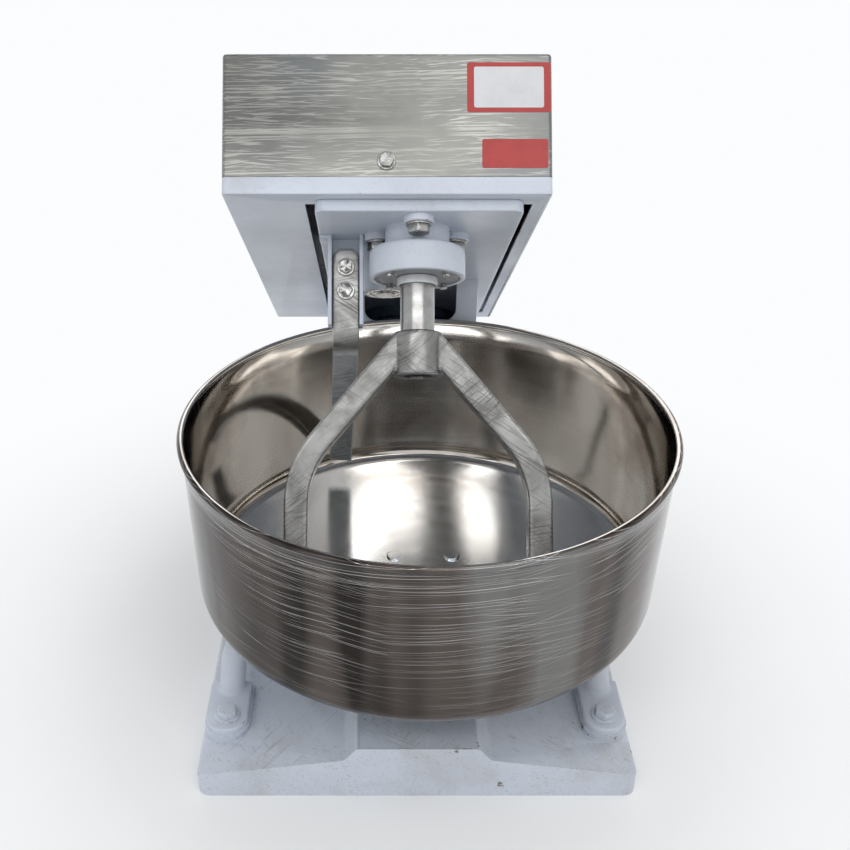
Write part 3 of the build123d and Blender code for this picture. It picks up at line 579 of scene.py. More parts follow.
coverSteel = dict(
    color=(0.265, 0.263, 0.245, 1), dull=(0.175, 0.176, 0.17, 1), cool=(0.19, 0.207, 0.222, 1),
    hair=(0.56, 0.555, 0.52, 1), rough=(0.2, 0.36), lines=(3.0, 380.0, 380.0), cloud=6.0, wide=3.2,
    sideFrom=0.7, stretch=(1.5, 620.0, 620.0), share=0.585, hairShare=0.55, lineShare=0.6,
    tilts=[(0, 0.10, 0.05), (0, -0.05, -0.04), (0, 0.02, 0.0)])


def alongFace(net, local):
    # the drawn lines run across the cover, and lengthways on its two sides
    parts = net.split(local)
    turned = net.merge(parts[1], parts[0], parts[2])
    across = net.split(net.normals())[0]
    onSide = net.math("GREATER_THAN", net.math("ABSOLUTE", across), coverSteel["sideFrom"])
    return net.put("ShaderNodeMix", {0: onSide, 4: local, 5: turned}, data_type="VECTOR").outputs[1]


def coverFinish():
    s = named(coverSteel)
    net = newMaterial("drawn cover steel")
    local = alongFace(net, net.inHead())
    lines = net.group(brushNodes, Vector=local, Stretch=s.lines)
    cloud = net.noise(local, s.cloud, 4.0, 0.6, 0.5)
    wide = net.noise(local, s.wide)
    color = net.toned(cloud, 0.38, 0.68, s.color, s.dull)
    color = net.toned(wide, 0.46, 0.58, color, s.cool)
    hair = net.hair(local, s.stretch, s.share, s.tilts)
    color = net.laid(hair, s.hairShare, color, s.hair)
    rough = net.ranged(lines["Streaks"], 0.3, 0.7, *s.rough)
    height = net.plus(net.times(lines["Lines"], s.lineShare), hair)
    sag = net.bump(wide, 0.35, 0.006, Normal=net.bump(height, 0.03, 0.0003))
    return net.feed(color=color, rough=rough, metal=1.0, normal=sag)


castMetal = dict(
    worn=(0.66, 0.66, 0.65, 1), score=(0.075, 0.070, 0.064, 1), rough=(0.26, 0.52), cloud=28.0, grain=900.0,
    wearShare=0.6, scratch=60.0, width=0.02, some=0.5, scratchShare=0.14, stretch=(22.0, 22.0, 800.0),
    share=0.58, scoreShare=0.7, tilts=[(0, 0.6, 0), (0, -0.5, 0.2), (0.4, 0.2, 0)])


def castFinish(name, tone, dull):
    s = named(castMetal)
    net = newMaterial(name)
    coords = net.coords
    cloud = net.noise(coords, s.cloud, 5.0, 0.65, 0.5)
    color = net.toned(cloud, 0.40, 0.72, tone, dull)
    color = net.mix(net.times(net.wear(), s.wearShare), color, s.worn)
    scratch = net.group(scratchNodes, Vector=coords, Scale=s.scratch, Width=s.width, Share=s.some)["Mask"]
    color = net.laid(scratch, s.scratchShare, color, s.worn)
    hair = net.hair(coords, s.stretch, s.share, s.tilts)
    color = net.laid(hair, s.scoreShare, color, s.score)
    grain = net.noise(coords, s.grain, 2.0, 0.6)
    rough = net.ranged(cloud, 0.3, 0.7, *s.rough)
    height = net.plus(net.times(grain, 0.5), net.times(scratch, 0.3))
    return net.feed(color=color, rough=rough, metal=1.0, normal=net.bump(height, 0.12, 0.0004))


def turnedFinish(name, color, dull, rough, inLean=True):
    net = newMaterial(name)
    local = net.inHead() if inLean else net.aboutBowl()
    marks = net.group(turnNodes, Vector=local, Fineness=1600.0)
    cloud = net.noise(net.coords, 40.0, 3.0, 0.6)
    tone = net.toned(cloud, 0.45, 0.75, color, dull)
    level = net.ranged(marks["Bands"], 0.3, 0.7, *rough)
    return net.feed(color=tone, rough=level, metal=1.0, normal=net.bump(marks["Rings"], 0.15, 0.0003))


plateLook = dict(
    scale=180.0, grime=70.0, grimeRough=0.2, stain=(0.22, 0.19, 0.16, 1), stainShare=0.5,
    bump=(0.1, 0.0002))
dullLook = dict(grime=20.0, grimeRough=0.1, bump=(0.12, 0.0004))


def mottled(name, color, second, rough, scale, look):
    # two tones in a fine grain, with the grime over it
    net = newMaterial(name)
    grain = net.noise(net.coords, scale, 4.0, 0.6)
    grime = net.group(grimeNodes, Vector=net.coords, Scale=look["grime"], Level=0.5)["Mask"]
    tone = net.toned(grain, 0.35, 0.7, color, second)
    level = net.plus(net.ranged(grain, 0.3, 0.7, *rough), net.times(grime, look["grimeRough"]))
    net.feed(rough=level, normal=net.bump(grain, *look["bump"]))
    return net, tone, grime


def platedFinish(name, color, second, rough):
    net, tone, grime = mottled(name, color, second, rough, plateLook["scale"], plateLook)
    return net.feed(color=net.laid(grime, plateLook["stainShare"], tone, plateLook["stain"]), metal=1.0)


def dullFinish(name, color, second, rough, metal=0.0, scale=120.0):
    net, tone = mottled(name, color, second, rough, scale, dullLook)[:2]
    return net.feed(color=tone, metal=metal)


def grey(level):
    return (level, level, level, 1)


finishes = {
    "frame": paintFinish("bluish white paint", 0.045, 0.05, 0.15),
    "base": paintFinish("worn base paint", 0.085, 0.14, 0.5),
    "bowl": bowlFinish(),
    "cover": coverFinish(),
    "fork": castFinish("cast fork metal", (0.25, 0.25, 0.242, 1), (0.15, 0.147, 0.14, 1)),
    "scraper": castFinish("scraper metal", (0.28, 0.28, 0.272, 1), (0.19, 0.186, 0.178, 1)),
    "shaft": turnedFinish("turned shaft steel", (0.35, 0.35, 0.343, 1), (0.25, 0.246, 0.238, 1),
                          (0.14, 0.32)),
    "hub": turnedFinish("turned hub steel", (0.55, 0.55, 0.54, 1), (0.38, 0.37, 0.36, 1), (0.2, 0.4), False),
    "zinc": platedFinish("zinc plate", (0.44, 0.44, 0.43, 1), (0.28, 0.275, 0.26, 1), (0.22, 0.4)),
    "race": platedFinish("ground race steel", grey(0.60), grey(0.50), (0.18, 0.3)),
    "bronze": platedFinish("bush bronze", (0.60, 0.42, 0.20, 1), (0.40, 0.27, 0.13, 1), (0.3, 0.45)),
    "lid": dullFinish("grey lid paint", (0.34, 0.35, 0.37, 1), (0.26, 0.27, 0.28, 1), (0.4, 0.55)),
    "iron": dullFinish("pulley iron", (0.16, 0.16, 0.165, 1), grey(0.09), (0.45, 0.65), 0.8),
    "motor": dullFinish("motor paint", (0.10, 0.15, 0.20, 1), (0.07, 0.11, 0.15, 1), (0.38, 0.55)),
    "plastic": dullFinish("black plastic", (0.025, 0.025, 0.027, 1), grey(0.04), (0.45, 0.6), scale=600.0),
    "rubber": dullFinish("belt rubber", grey(0.022), (0.05, 0.048, 0.045, 1), (0.6, 0.8), scale=300.0),
    "labelRed": dullFinish("red label film", (0.43, 0.032, 0.028, 1), (0.36, 0.028, 0.025, 1), (0.28, 0.4),
                           scale=60.0),
    "labelWhite": dullFinish("white label film", (0.64, 0.65, 0.67, 1), (0.59, 0.59, 0.61, 1), (0.28, 0.4),
                             scale=60.0),
    "seal": dullFinish("white seal", (0.74, 0.76, 0.78, 1), (0.62, 0.63, 0.64, 1), (0.4, 0.55)),
}
print("finishes made:", len(finishes))


# Placing and wear

wearRule = dict(least=9.0, full=30.0, band=0.003, broad=1.5)


def isBroad(face):
    return face.calc_area() > wearRule["broad"] * wearRule["band"] * face.calc_perimeter()


def isConvex(face):
    for loop in face.loops:
        before = loop.vert.co - loop.link_loop_prev.vert.co
        after = loop.link_loop_next.vert.co - loop.vert.co
        if before.cross(after).dot(face.normal) < -1e-10:
            return False
    return True


def markWear(mesh):
    # how sharply the surface turns outwards at each corner, for worn edges
    bm = bmesh.new()
    bm.from_mesh(mesh)
    # a narrow band round each broad flat face keeps the wear to the edges
    broad = [face for face in bm.faces if isBroad(face) and isConvex(face)]
    if broad:
        bmesh.ops.inset_individual(bm, faces=broad, thickness=wearRule["band"], use_even_offset=True)
    bm.verts.index_update()
    worn = [0.0] * len(bm.verts)
    for edge in bm.edges:
        if len(edge.link_faces) != 2 or not edge.is_convex:
            continue
        turn = math.degrees(edge.calc_face_angle(0.0))
        level = (turn - wearRule["least"]) / (wearRule["full"] - wearRule["least"])
        for vert in edge.verts:
            worn[vert.index] = max(worn[vert.index], min(1.0, max(0.0, level)))
    corners = []
    for face in bm.faces:
        keep = 0.0 if isBroad(face) else 1.0
        corners += [keep * worn[loop.vert.index] for loop in face.loops]
    bm.to_mesh(mesh)
    bm.free()
    attribute = mesh.attributes.new("wear", "FLOAT", "CORNER")
    attribute.data.foreach_set("value", corners)


def seat(piece, name, finish, *replaced, place=head, body="frame", slotName="frame_paint", worn=True):
    piece.name = name
    piece.data.name = name
    piece.data.materials.clear()
    piece.data.materials.append(finishes[finish])
    piece.data.transform(place @ toMetres)
    if worn:
        markWear(piece.data)
    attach(piece, body)
    if replaced:
        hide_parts(*replaced)


# Bowl

bowlShape = dict(
    rim=260.0, bead=4.0, sheet=2.0, foot=249.0, footDepth=170.0, crease=243.0, creaseDepth=189.0, flat=56.0,
    depth=200.0, sag=3.0, spin=180, roll=(205, 250), heelShare=0.8)


def bowlProfile(top):
    s = named(bowlShape)
    floor = top - s.depth
    crease = (s.crease, top - s.creaseDepth)
    foot = (s.foot, top - s.footDepth)
    lip = Vector((s.rim - s.bead - s.sheet, top - 2 * s.bead))
    dish = sagArc((s.flat, floor), crease, s.sag, 20)
    heel = sagArc(crease, foot, s.sheet, 8)
    wall = [Vector(foot).lerp(lip, k / 8) for k in range(1, 9)]
    inside = [Vector((0, floor)), Vector((s.flat / 2, floor))] + dish + heel[1:] + wall
    centre = Vector((s.rim - s.bead, top - s.bead))
    start, swing = s.roll
    roll = [centre + Vector(circlePoint(s.bead, math.radians(start - swing * k / 12))) for k in range(13)]
    outside = [p + Vector((s.sheet, 0)) for p in reversed(inside[-9:])]
    outside[0] += Vector((0, -s.bead / 2))
    outside += [p + Vector((s.sheet, -s.sheet)) * s.heelShare for p in reversed(heel)][1:]
    outside += [p - Vector((0, s.sheet)) for p in reversed(dish)][1:]
    outside += [Vector((s.flat / 2, floor - s.sheet)), Vector((0, floor - s.sheet))]
    return inside + roll + outside


def makeBowl():
    piece = turnedBody(bowlProfile(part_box("bowl")[1].z / mm), bowlShape["spin"], 50)
    seat(piece, "bowlShell", "bowl", "bowl", place=atBowl, body="bowl", slotName="bowl_steel")


# Fork, cast in one with its hub

forkShape = dict(
    hub=25.0, hubTop=45.0, hubRound=(2, 3), reach=135.0, arm=24.0, wide=28.0, root=37.0, slope=40.0,
    bend=103.0, tip=189.5, corner=2.6, cup=15.0, cupDepth=6.0, cupLow=-4.0, voxel=1.3, ease=3)


def makeFork():
    s = named(forkShape)
    centre = s.reach - s.arm / 2
    start = s.hub / 2
    knee = s.root - (centre - start) / math.tan(math.radians(s.slope))
    right = bentLine([(start, 0, s.root), (centre, 0, knee), (centre, 0, -s.tip)], s.bend, 14, 12)
    left = [Vector((-p.x, p.y, p.z)) for p in right]
    section = rectLoop(-s.wide / 2, s.wide / 2, -s.arm / 2, s.arm / 2, s.corner, 4)
    parts = [sweptBar(line, section, (0, 1, 0)) for line in (right, left)]
    parts.append(rod(s.hub, 0, s.hubTop, 64, *s.hubRound))
    body = castAs(joined(parts), s.voxel, s.ease)
    cutBy(body, [rod(s.cup, s.cupLow, s.cupDepth, 48)])
    seat(shaded(body, 40), "forkCasting", "fork", "fork", body="beater", slotName="fork_cast")


# Spindle, seal collar, bell housing and lid

spindleShape = dict(
    radius=17.5, low=12.0, high=133.7, neck=15.0, neckTop=190.0, thread=10.0, threadTop=203.5)
sealShape = dict(bore=17.9, radius=20.8, low=93.0, high=101.4, edge=1.2)
housingShape = dict(
    drum=49.0, low=100.0, drumTop=131.0, edge=6.0, neck=33.0, top=151.95, lidSeat=43.7, lidTop=106.5,
    bore=22.0, ear=15.0, earCircle=46.0, earLow=145.0, earRound=1.2, ears=3, earFrom=-90,
    seatRound=0.8, lowRound=1.6, rootRound=4.0)
lidShape = dict(bore=20.0, radius=43.5, low=101.5, high=106.4, edge=0.8)


def ringBody(shape, steps, segments):
    s = named(shape)
    return turnedBody(rectLoop(s.bore, s.radius, s.low, s.high, s.edge, steps), segments)


def roundSpots(radius, count, start):
    return [circlePoint(radius, math.radians(start + 360 * k / count)) for k in range(count)]


def makeSpindle():
    s = named(spindleShape)
    profile = [(0, s.low), (s.radius, s.low), (s.radius, s.high), (s.neck, s.high), (s.neck, s.neckTop),
               (s.thread, s.neckTop), (s.thread, s.threadTop), (0, s.threadTop)]
    piece = turnedBody(rounded(profile, [0, 1, 1, 0, 1, 0, 1, 0], 3), 72)
    seat(piece, "spindleShaft", "shaft", "spindle", body="beater", slotName="shaft_steel")


def makeSeal():
    seat(ringBody(sealShape, 4, 72), "sealCollar", "seal", "shaft_seal")


def makeHousing():
    s = named(housingShape)
    outline = [(s.lidSeat, s.lidTop), (s.lidSeat, s.low), (s.drum, s.low), (s.drum, s.drumTop),
               (s.neck, s.drumTop), (s.neck, s.top), (s.bore, s.top), (s.bore, s.lidTop)]
    radii = [0, s.seatRound, s.lowRound, s.edge, s.rootRound, 0, 0, 0]
    parts = [turnedBody(rounded(outline, radii), 120, 40)]
    for spot in roundSpots(s.earCircle, s.ears, s.earFrom):
        parts.append(shifted(rod(s.ear, s.earLow, s.top, 40, s.earRound, 0, 3), *spot))
    seat(joined(parts), "bellHousing", "frame", "gear_housing")


def makeLid():
    seat(ringBody(lidShape, 3, 96), "housingLid", "lid", "housing_lid", slotName="lid_grey")


# Head plate, countershaft tube, cover rail and belt cover, drawn along the leaning head

plateShape = dict(half=102.0, front=-65.0, rear=522.0, low=152.0, high=163.95, corner=10.0, edge=1.4)
tubeShape = dict(x=-32.0, y=67.83, radius=25.0, bore=21.1, low=100.0, high=151.9, edge=1.5)
railShape = dict(
    left=-190.0, right=127.0, front=-80.0, rear=522.0, low=164.0, high=180.95, sheet=3.0, sideLip=15.0,
    endLip=34.0, corner=4.0, inner=1.0, over=5.0, edge=0.9)
coverShape = dict(
    left=-190.0, right=127.0, front=-80.0, rear=522.0, low=181.0, high=302.0, sheet=1.5, bend=4.0, steps=5)


def makePlate():
    s = named(plateShape)
    outline = [(-s.half, s.rear), (-s.half, s.front), (s.half, s.front), (s.half, s.rear)]
    piece = bevelled(prism(rounded(outline, [0, s.corner, s.corner, 0]), s.low, s.high), s.edge)
    seat(shaded(piece), "headPlate", "frame", "head_plate")


def makeTube():
    piece = shifted(ringBody(tubeShape, 3, 64), tubeShape["x"], tubeShape["y"])
    seat(piece, "counterTube", "frame", "countershaft_tube")


def insetLoop(s, inset, radius):
    return rectLoop(s.left + inset, s.right - inset, s.front + inset, s.rear - inset, radius)


def makeRail():
    s = named(railShape)
    outer = prism(insetLoop(s, 0, s.corner), s.low, s.high)
    trough = prism(insetLoop(s, s.sheet, s.inner), s.low + s.sheet, s.high + s.over)
    reach = s.right - s.sideLip
    mouth = slab((-reach, s.front + s.endLip, s.low - s.over), (reach, s.rear - s.endLip, s.high + s.over))
    piece = bevelled(cutBy(outer, [trough, mouth]), s.edge, 2)
    seat(shaded(piece), "coverRail", "frame", "cover_rail")


def coverRings(inset):
    # rings of one skin of the cover, from its open foot to the rim of its top
    s = named(coverShape)
    bend = s.bend - inset
    top = s.high - inset
    levels = [(0.0, s.low), (0.0, top - bend)]
    for k in range(1, s.steps + 1):
        angle = math.pi / 2 * k / s.steps
        levels.append((bend * (1 - math.cos(angle)), top - bend + bend * math.sin(angle)))
    return [[(*p, level) for p in insetLoop(s, inset + drawn, bend - drawn)] for drawn, level in levels]


def makeCover():
    bm = bmesh.new()
    feet = []
    for inset in (0.0, coverShape["sheet"]):
        rings = [[bm.verts.new(p) for p in ring] for ring in coverRings(inset)]
        for low, high in zip(rings, rings[1:]):
            bridgeRings(bm, low, high, len(low))
        bm.faces.new(rings[-1])
        feet.append(rings[0])
    bridgeRings(bm, feet[0], feet[1], len(feet[0]))
    seat(pieceFrom(bm, 30), "beltCover", "cover", "belt_cover", slotName="cover_steel", worn=False)


# Plain label panels on the cover's front: name, finish, span, border and layers of film

labelShape = dict(front=-80.0, thick=0.25, corner=2.0, gap=0.02)
labelSpan = (45.3, 125.5, 243.6, 292.4)
labels = [("labelBorder", "labelRed", labelSpan, (0, 0), 1),
          ("labelPanel", "labelWhite", labelSpan, (6.6, 4.4), 2),
          ("labelStrip", "labelRed", (59.5, 122.8, 189.2, 217.5), (0, 0), 1)]


def makeLabels():
    s = named(labelShape)
    for name, finish, (left, right, low, high), (side, end), layers in labels:
        corners = rectLoop(left + side, right - side, low + end, high - end, s.corner, 4)
        piece = alongY(corners, s.front - layers * s.thick, s.front - s.gap)
        seat(piece, name, finish, slotName="cover_steel", worn=False)


# Scraper bar and its channel bracket

bracketShape = dict(
    x=-74.0, wide=37.0, front=18.0, rear=42.0, low=57.0, high=151.95, sheet=4.0, flange=9.0, bend=5.0,
    lap=1.0, edge=0.7)
scraperShape = dict(
    x=-74.0, y=34.0, top=140.0, knee=39.0, tip=(-88.0, 200.0, 163.0), wide=28.0, thick=8.0, bend=25.0,
    corner=1.6, chamfer=7.0, edge=0.8, wedge=((-20, -20, 0), (20, 20, 30)))


def makeBracket():
    s = named(bracketShape)
    left, right = s.x - s.wide / 2, s.x + s.wide / 2
    back, bend = s.rear - s.sheet, s.bend - s.sheet
    outer = [(left, s.front), (left, s.rear), (right, s.rear), (right, s.front)]
    near, far = left + s.sheet, right - s.sheet
    inner = [(far, s.front), (far, back), (near, back), (near, s.front)]
    outline = rounded(outer, [0, s.bend, s.bend, 0], 5) + rounded(inner, [0, bend, bend, 0], 3)
    channel = prism(outline, s.low, s.high)
    flange = slab((left - s.flange, s.front, s.high - s.sheet), (left + s.lap, s.rear, s.high))
    piece = bevelled(joined([channel, flange]), s.edge, 2)
    seat(shaded(piece), "scraperBracket", "frame", "scraper_bracket")


def makeScraper():
    s = named(scraperShape)
    tip = head.inverted() @ (Vector(s.tip) * mm) / mm
    line = bentLine([(s.x, s.y, s.top), (s.x, s.y, s.knee), tip], s.bend, 12, 20)
    half = s.wide / 2
    bar = sweptBar(line, rectLoop(-half, half, -s.thick / 2, s.thick / 2, s.corner, 4), (1, 0, 0))
    cutters = []
    for side in (-1, 1):
        wedge = placed(slab(*s.wedge), Matrix.Rotation(side * math.pi / 4, 4, "Y"))
        drop = s.chamfer / 2
        cutters.append(shifted(wedge, s.x + side * (half - drop), s.y, s.top - drop))
    piece = bevelled(cutBy(bar, cutters), s.edge, 2, 40)
    seat(shaded(piece), "scraperBar", "scraper", "scraper_bar", slotName="fork_cast")


# Base casting

baseShape = dict(
    half=227.5, front=-210.0, rear=440.0, side=29.0, shoulder=51.0, top=67.0, plateau=62.0, ramp=75.0,
    plateauRear=236.0, deck=36.0, lap=40.0, corner=12.0, soft=5.0, edge=1.6, wall=8.0, pad=42.0, padX=201.0,
    padIn=88.0, padOut=144.0, padHalf=24.0, below=-1.0, above=20.0)


def bothSides(right):
    return right + [(-x, z) for x, z in reversed(right)]


def lugLoop(x, inner, outer, half, steps=14):
    # a plate with one square end and one round end
    way = 1 if outer > inner else -1
    loop = [(x - half, inner), (x + half, inner)]
    for k in range(steps + 1):
        across, along = circlePoint(half, math.pi * k / steps)
        loop.append((x + across, outer + way * along))
    return loop


def basePockets(s):
    # the hollows under the casting, between its ribs
    wall = s.wall
    side, rib = s.half - wall, wall / 2
    outline = bothSides([(side, s.below), (side, s.side - wall), (s.ramp - rib, s.shoulder - wall),
                         (s.plateau - rib, s.top - wall)])
    pockets = [alongY(outline, s.front + wall, -rib), alongY(outline, rib, s.plateauRear - wall)]
    loop = rectLoop(-side, side, s.plateauRear, s.rear - wall, s.corner)
    return pockets + [prism(loop, s.below, s.deck - wall)]


def makeBase():
    s = named(baseShape)
    points = bothSides([(s.half, 0), (s.half, s.side), (s.ramp, s.shoulder), (s.plateau, s.top)])
    outline = rounded(points, [0] + [s.soft] * (len(points) - 2) + [0], 4)
    body = alongY(outline, s.front, s.plateauRear)
    plan = prism(rectLoop(-s.half, s.half, s.front, s.rear, s.corner), s.below, s.top + s.above)
    cutBy(body, [plan], "INTERSECT")
    parts = [prism(rectLoop(-s.half, s.half, s.plateauRear - s.lap, s.rear, s.corner), 0, s.deck)]
    for side, end in pairs:
        loop = lugLoop(side * s.padX, end * s.padIn, end * s.padOut, s.padHalf)
        parts.append(prism(loop, s.side / 2, s.pad))
    cutBy(body, parts, "UNION")
    piece = bevelled(cutBy(body, basePockets(s)), s.edge, 3, 25)
    seat(shaded(piece, 40), "baseFront", "base", "base", place=upright)


# Bowl stand: hub, bent legs and flat lugs cast in one

standShape = dict(
    hub=40.0, bore=25.0, low=72.0, high=108.0, leg=14.0, legSides=28, bend=34.0, legHub=90.0, legFrom=0.12,
    knee=(195.0, 76.0, 106.0), end=(201.0, 104.0), floor=42.0, sunk=4.0, lug=22.0, lugTop=50.0, bolt=40.0,
    over=5.0, under=300.0, underLow=-50.0, voxel=1.7, ease=4)


def standLeg(s, side, end):
    knee = Vector((side * s.knee[0], end * s.knee[1], s.knee[2]))
    landing = Vector((side * s.end[0], end * s.end[1], s.floor))
    foot = knee + (landing - knee) * (1 + s.leg / (knee.z - s.floor))
    centre = Vector((bowlAxis.x / mm, 0, s.legHub))
    start = centre.lerp(Vector((knee.x, knee.y, s.legHub)), s.legFrom)
    section = roundSpots(s.leg, s.legSides, 0)
    return sweptBar(bentLine([start, knee, foot], s.bend, 10, 15), section, (0, 0, 1))


def makeStand():
    s = named(standShape)
    middle = bowlAxis.x / mm
    parts = [shifted(rod(s.hub, s.low, s.high, 64), middle, 0)]
    for side, end in pairs:
        parts.append(standLeg(s, side, end))
        loop = lugLoop(side * s.end[0], end * (s.end[1] - s.leg), end * (s.end[1] + s.bolt), s.lug)
        parts.append(prism(loop, s.floor - s.sunk, s.lugTop))
    body = castAs(joined(parts), s.voxel, s.ease)
    under = slab((-s.under, -s.under, s.underLow), (s.under, s.under, s.floor))
    bore = shifted(rod(s.bore, s.low - s.over, s.high + s.over, 64), middle, 0)
    cutBy(body, [under, bore])
    seat(shaded(body, 45), "bowlStand", "frame", "bowl_stand", place=upright)


# Column: notched front plate, side plates, rear flanges and foot plate

columnShape = dict(
    front=272.0, frontSheet=6.0, half=83.0, sideSheet=5.0, low=44.0, frontTop=374.9, back=520.0,
    headLow=151.9, notch=57.0, notchFloor=318.0, notchCorner=16.0, heel=399.5, flange=14.0, flangeLow=-42.0,
    footHalf=112.0, footFront=258.0, footRear=434.0, footLow=36.0, footCorner=12.0, lap=0.5, edge=1.0,
    footEdge=1.6)


def makeColumn():
    s = named(columnShape)
    half, notch, top = s.half, s.notch, s.frontTop
    outline = [(-half, s.low), (-half, top), (-notch, top), (-notch, s.notchFloor), (notch, s.notchFloor),
               (notch, top), (half, top), (half, s.low)]
    outline = rounded(outline, [0, 0, 0, s.notchCorner, s.notchCorner, 0, 0, 0], 8)
    parts = [alongY(outline, s.front, s.front + s.frontSheet)]
    crown = head @ (Vector((0, s.back, s.headLow)) * mm) / mm
    side = [(s.front + s.lap, s.low), (s.front + s.lap, top), (crown.y, crown.z), (s.heel, s.low)]
    acrossX = Matrix(((0, 0, 1, 0), (1, 0, 0, 0), (0, 1, 0, 0), (0, 0, 0, 1)))
    inner = half - s.sideSheet
    for low in (-half, inner):
        parts.append(placed(prism(side, low, low + s.sideSheet), acrossX))
    leaning = Matrix.Scale(1 / mm, 4) @ head @ toMetres
    for low in (-inner, inner - s.flange):
        strip = slab((low, s.back - s.sideSheet, s.flangeLow), (low + s.flange, s.back, s.headLow))
        parts.append(placed(strip, leaning))
    walls = bevelled(joined(parts), s.edge, 2)
    foot = prism(rectLoop(-s.footHalf, s.footHalf, s.footFront, s.footRear, s.footCorner), s.footLow, s.low)
    piece = joined([walls, bevelled(foot, s.footEdge)])
    seat(piece, "column", "frame", "column", place=upright)


# Weld beads and bolts, repeated by geometry nodes

weldShape = dict(step=3.4, size=2.8, seed=7, least=(0.8, 0.8, 0.7), most=(1.15, 1.15, 1.1))


def geometryGroup(name, inputs):
    points = [("Geometry", "Geometry", None)]
    return newGroup("GeometryNodeTree", name, points + inputs, [("Geometry", "Geometry")])


def spread(net, **values):
    copies = net.put("GeometryNodeInstanceOnPoints", values).outputs[0]
    return net.close(Geometry=net.put("GeometryNodeRealizeInstances", {0: copies}).outputs[0])


def chance(net, kind, seed, low, high):
    # a seeded draw between two bounds; the node has sockets for every kind of value
    form = "FLOAT_VECTOR" if kind == "VECTOR" else "FLOAT"
    node = net.put("FunctionNodeRandomValue", {"Seed": seed}, data_type=form)
    bounds = [socket for socket in node.inputs if socket.type == kind]
    net.wire(low, bounds[0])
    net.wire(high, bounds[1])
    return next(socket for socket in node.outputs if socket.type == kind)


def boltTree():
    inputs = [("Bolt", "Object", None), ("Spin", "Float", 3.0), ("Seed", "Int", 5)]
    net, give = geometryGroup("bolts on seats", inputs)
    axis = net.put("GeometryNodeInputNamedAttribute", {"Name": "axis"}, data_type="FLOAT_VECTOR").outputs[0]
    facing = net.put("FunctionNodeAlignRotationToVector", {"Vector": axis}, axis="Z").outputs[0]
    angle = chance(net, "VALUE", give["Seed"], 0.0, give["Spin"])
    spin = net.merge(0.0, 0.0, angle)
    turned = net.put("FunctionNodeRotateRotation", {0: facing, 1: spin}, rotation_space="LOCAL").outputs[0]
    bolt = net.put("GeometryNodeObjectInfo", {"Object": give["Bolt"]}).outputs["Geometry"]
    return spread(net, Points=give["Geometry"], Instance=bolt, Rotation=turned)


def weldTree():
    s = named(weldShape)
    inputs = [("Step", "Float", s.step), ("Size", "Float", s.size), ("Seed", "Int", s.seed)]
    net, give = geometryGroup("weld beads", inputs)
    line = net.put("GeometryNodeMeshToCurve", {0: give["Geometry"]}).outputs[0]
    values = {"Curve": line, "Length": give["Step"]}
    spots = net.put("GeometryNodeCurveToPoints", values, mode="LENGTH").outputs
    ball = net.put("GeometryNodeMeshIcoSphere", {"Radius": give["Size"], "Subdivisions": 2}).outputs[0]
    scale = chance(net, "VECTOR", give["Seed"], s.least, s.most)
    return spread(net, Points=spots["Points"], Instance=ball, Rotation=spots["Rotation"], Scale=scale)


boltNodes = boltTree()
weldNodes = weldTree()


def grown(piece, tree, **values):
    # runs a node tree on a piece and keeps the plain mesh
    modifier = modify(piece, "NODES", node_group=tree)
    for item in tree.interface.items_tree:
        if item.in_out == "INPUT" and item.name in values:
            modifier[item.identifier] = values[item.name]
    return settle(piece)


def seatPoints(spots):
    mesh = bpy.data.meshes.new("draft")
    mesh.from_pydata([spot for spot, axis in spots], [], [])
    axes = mesh.attributes.new("axis", "FLOAT_VECTOR", "POINT")
    axes.data.foreach_set("vector", [c for spot, axis in spots for c in axis])
    return linked(mesh)


# across flats, head height, washer radius, shank radius
boltSizes = {"foot": (19.0, 8.0, 14.0, 6.0), "ear": (20.0, 8.0, 12.8, 6.0), "cover": (13.0, 5.5, 9.0, 4.0),
             "bracket": (13.0, 5.5, 9.5, 4.0), "small": (7.0, 3.0, 3.7, 2.0)}
boltTrim = dict(
    washer=2.0, washerEdge=0.6, chamfer=0.192, crown=0.46, over=1.0, edge=0.35, shank=8.0, spin=3.0)
boltPlaces = dict(
    columnGap=68.0, coverX=-32.0, coverLevel=196.0, lidCircle=39.75, lidFrom=-45, lidScrews=4,
    scraperLevels=(120, 95), panelX=71.0, panelLevel=53.0, panelStep=83.0)


def boltShape(size):
    flats, tall, washer, shank = boltSizes[size]
    t = named(boltTrim)
    corner = flats / math.sqrt(3)
    top = t.washer + tall
    low, wide = t.washer - t.over, corner + t.over
    block = prism(roundSpots(corner, 6, 0), t.washer, top)
    cone = [(0, low), (wide, low), (wide, top - t.chamfer * tall), (flats * t.crown, top), (0, top)]
    cutBy(block, [turnedBody(cone, 48)], "INTERSECT")
    ring = turnedBody(rectLoop(shank, washer, 0, t.washer, t.washerEdge, 3), 40)
    return joined([bevelled(block, t.edge, 2, 20), ring, rod(shank, -t.shank, t.washer, 20)])


def boltRow(name, node, size, seed, place, spots, body="frame", finish="zinc"):
    bolt = boltShape(size)
    piece = grown(seatPoints(spots), boltNodes, Bolt=bolt, Spin=boltTrim["spin"], Seed=seed)
    bpy.data.objects.remove(bolt)
    seat(shaded(piece, 32), name, finish, node, place=place, body=body, slotName="zinc")


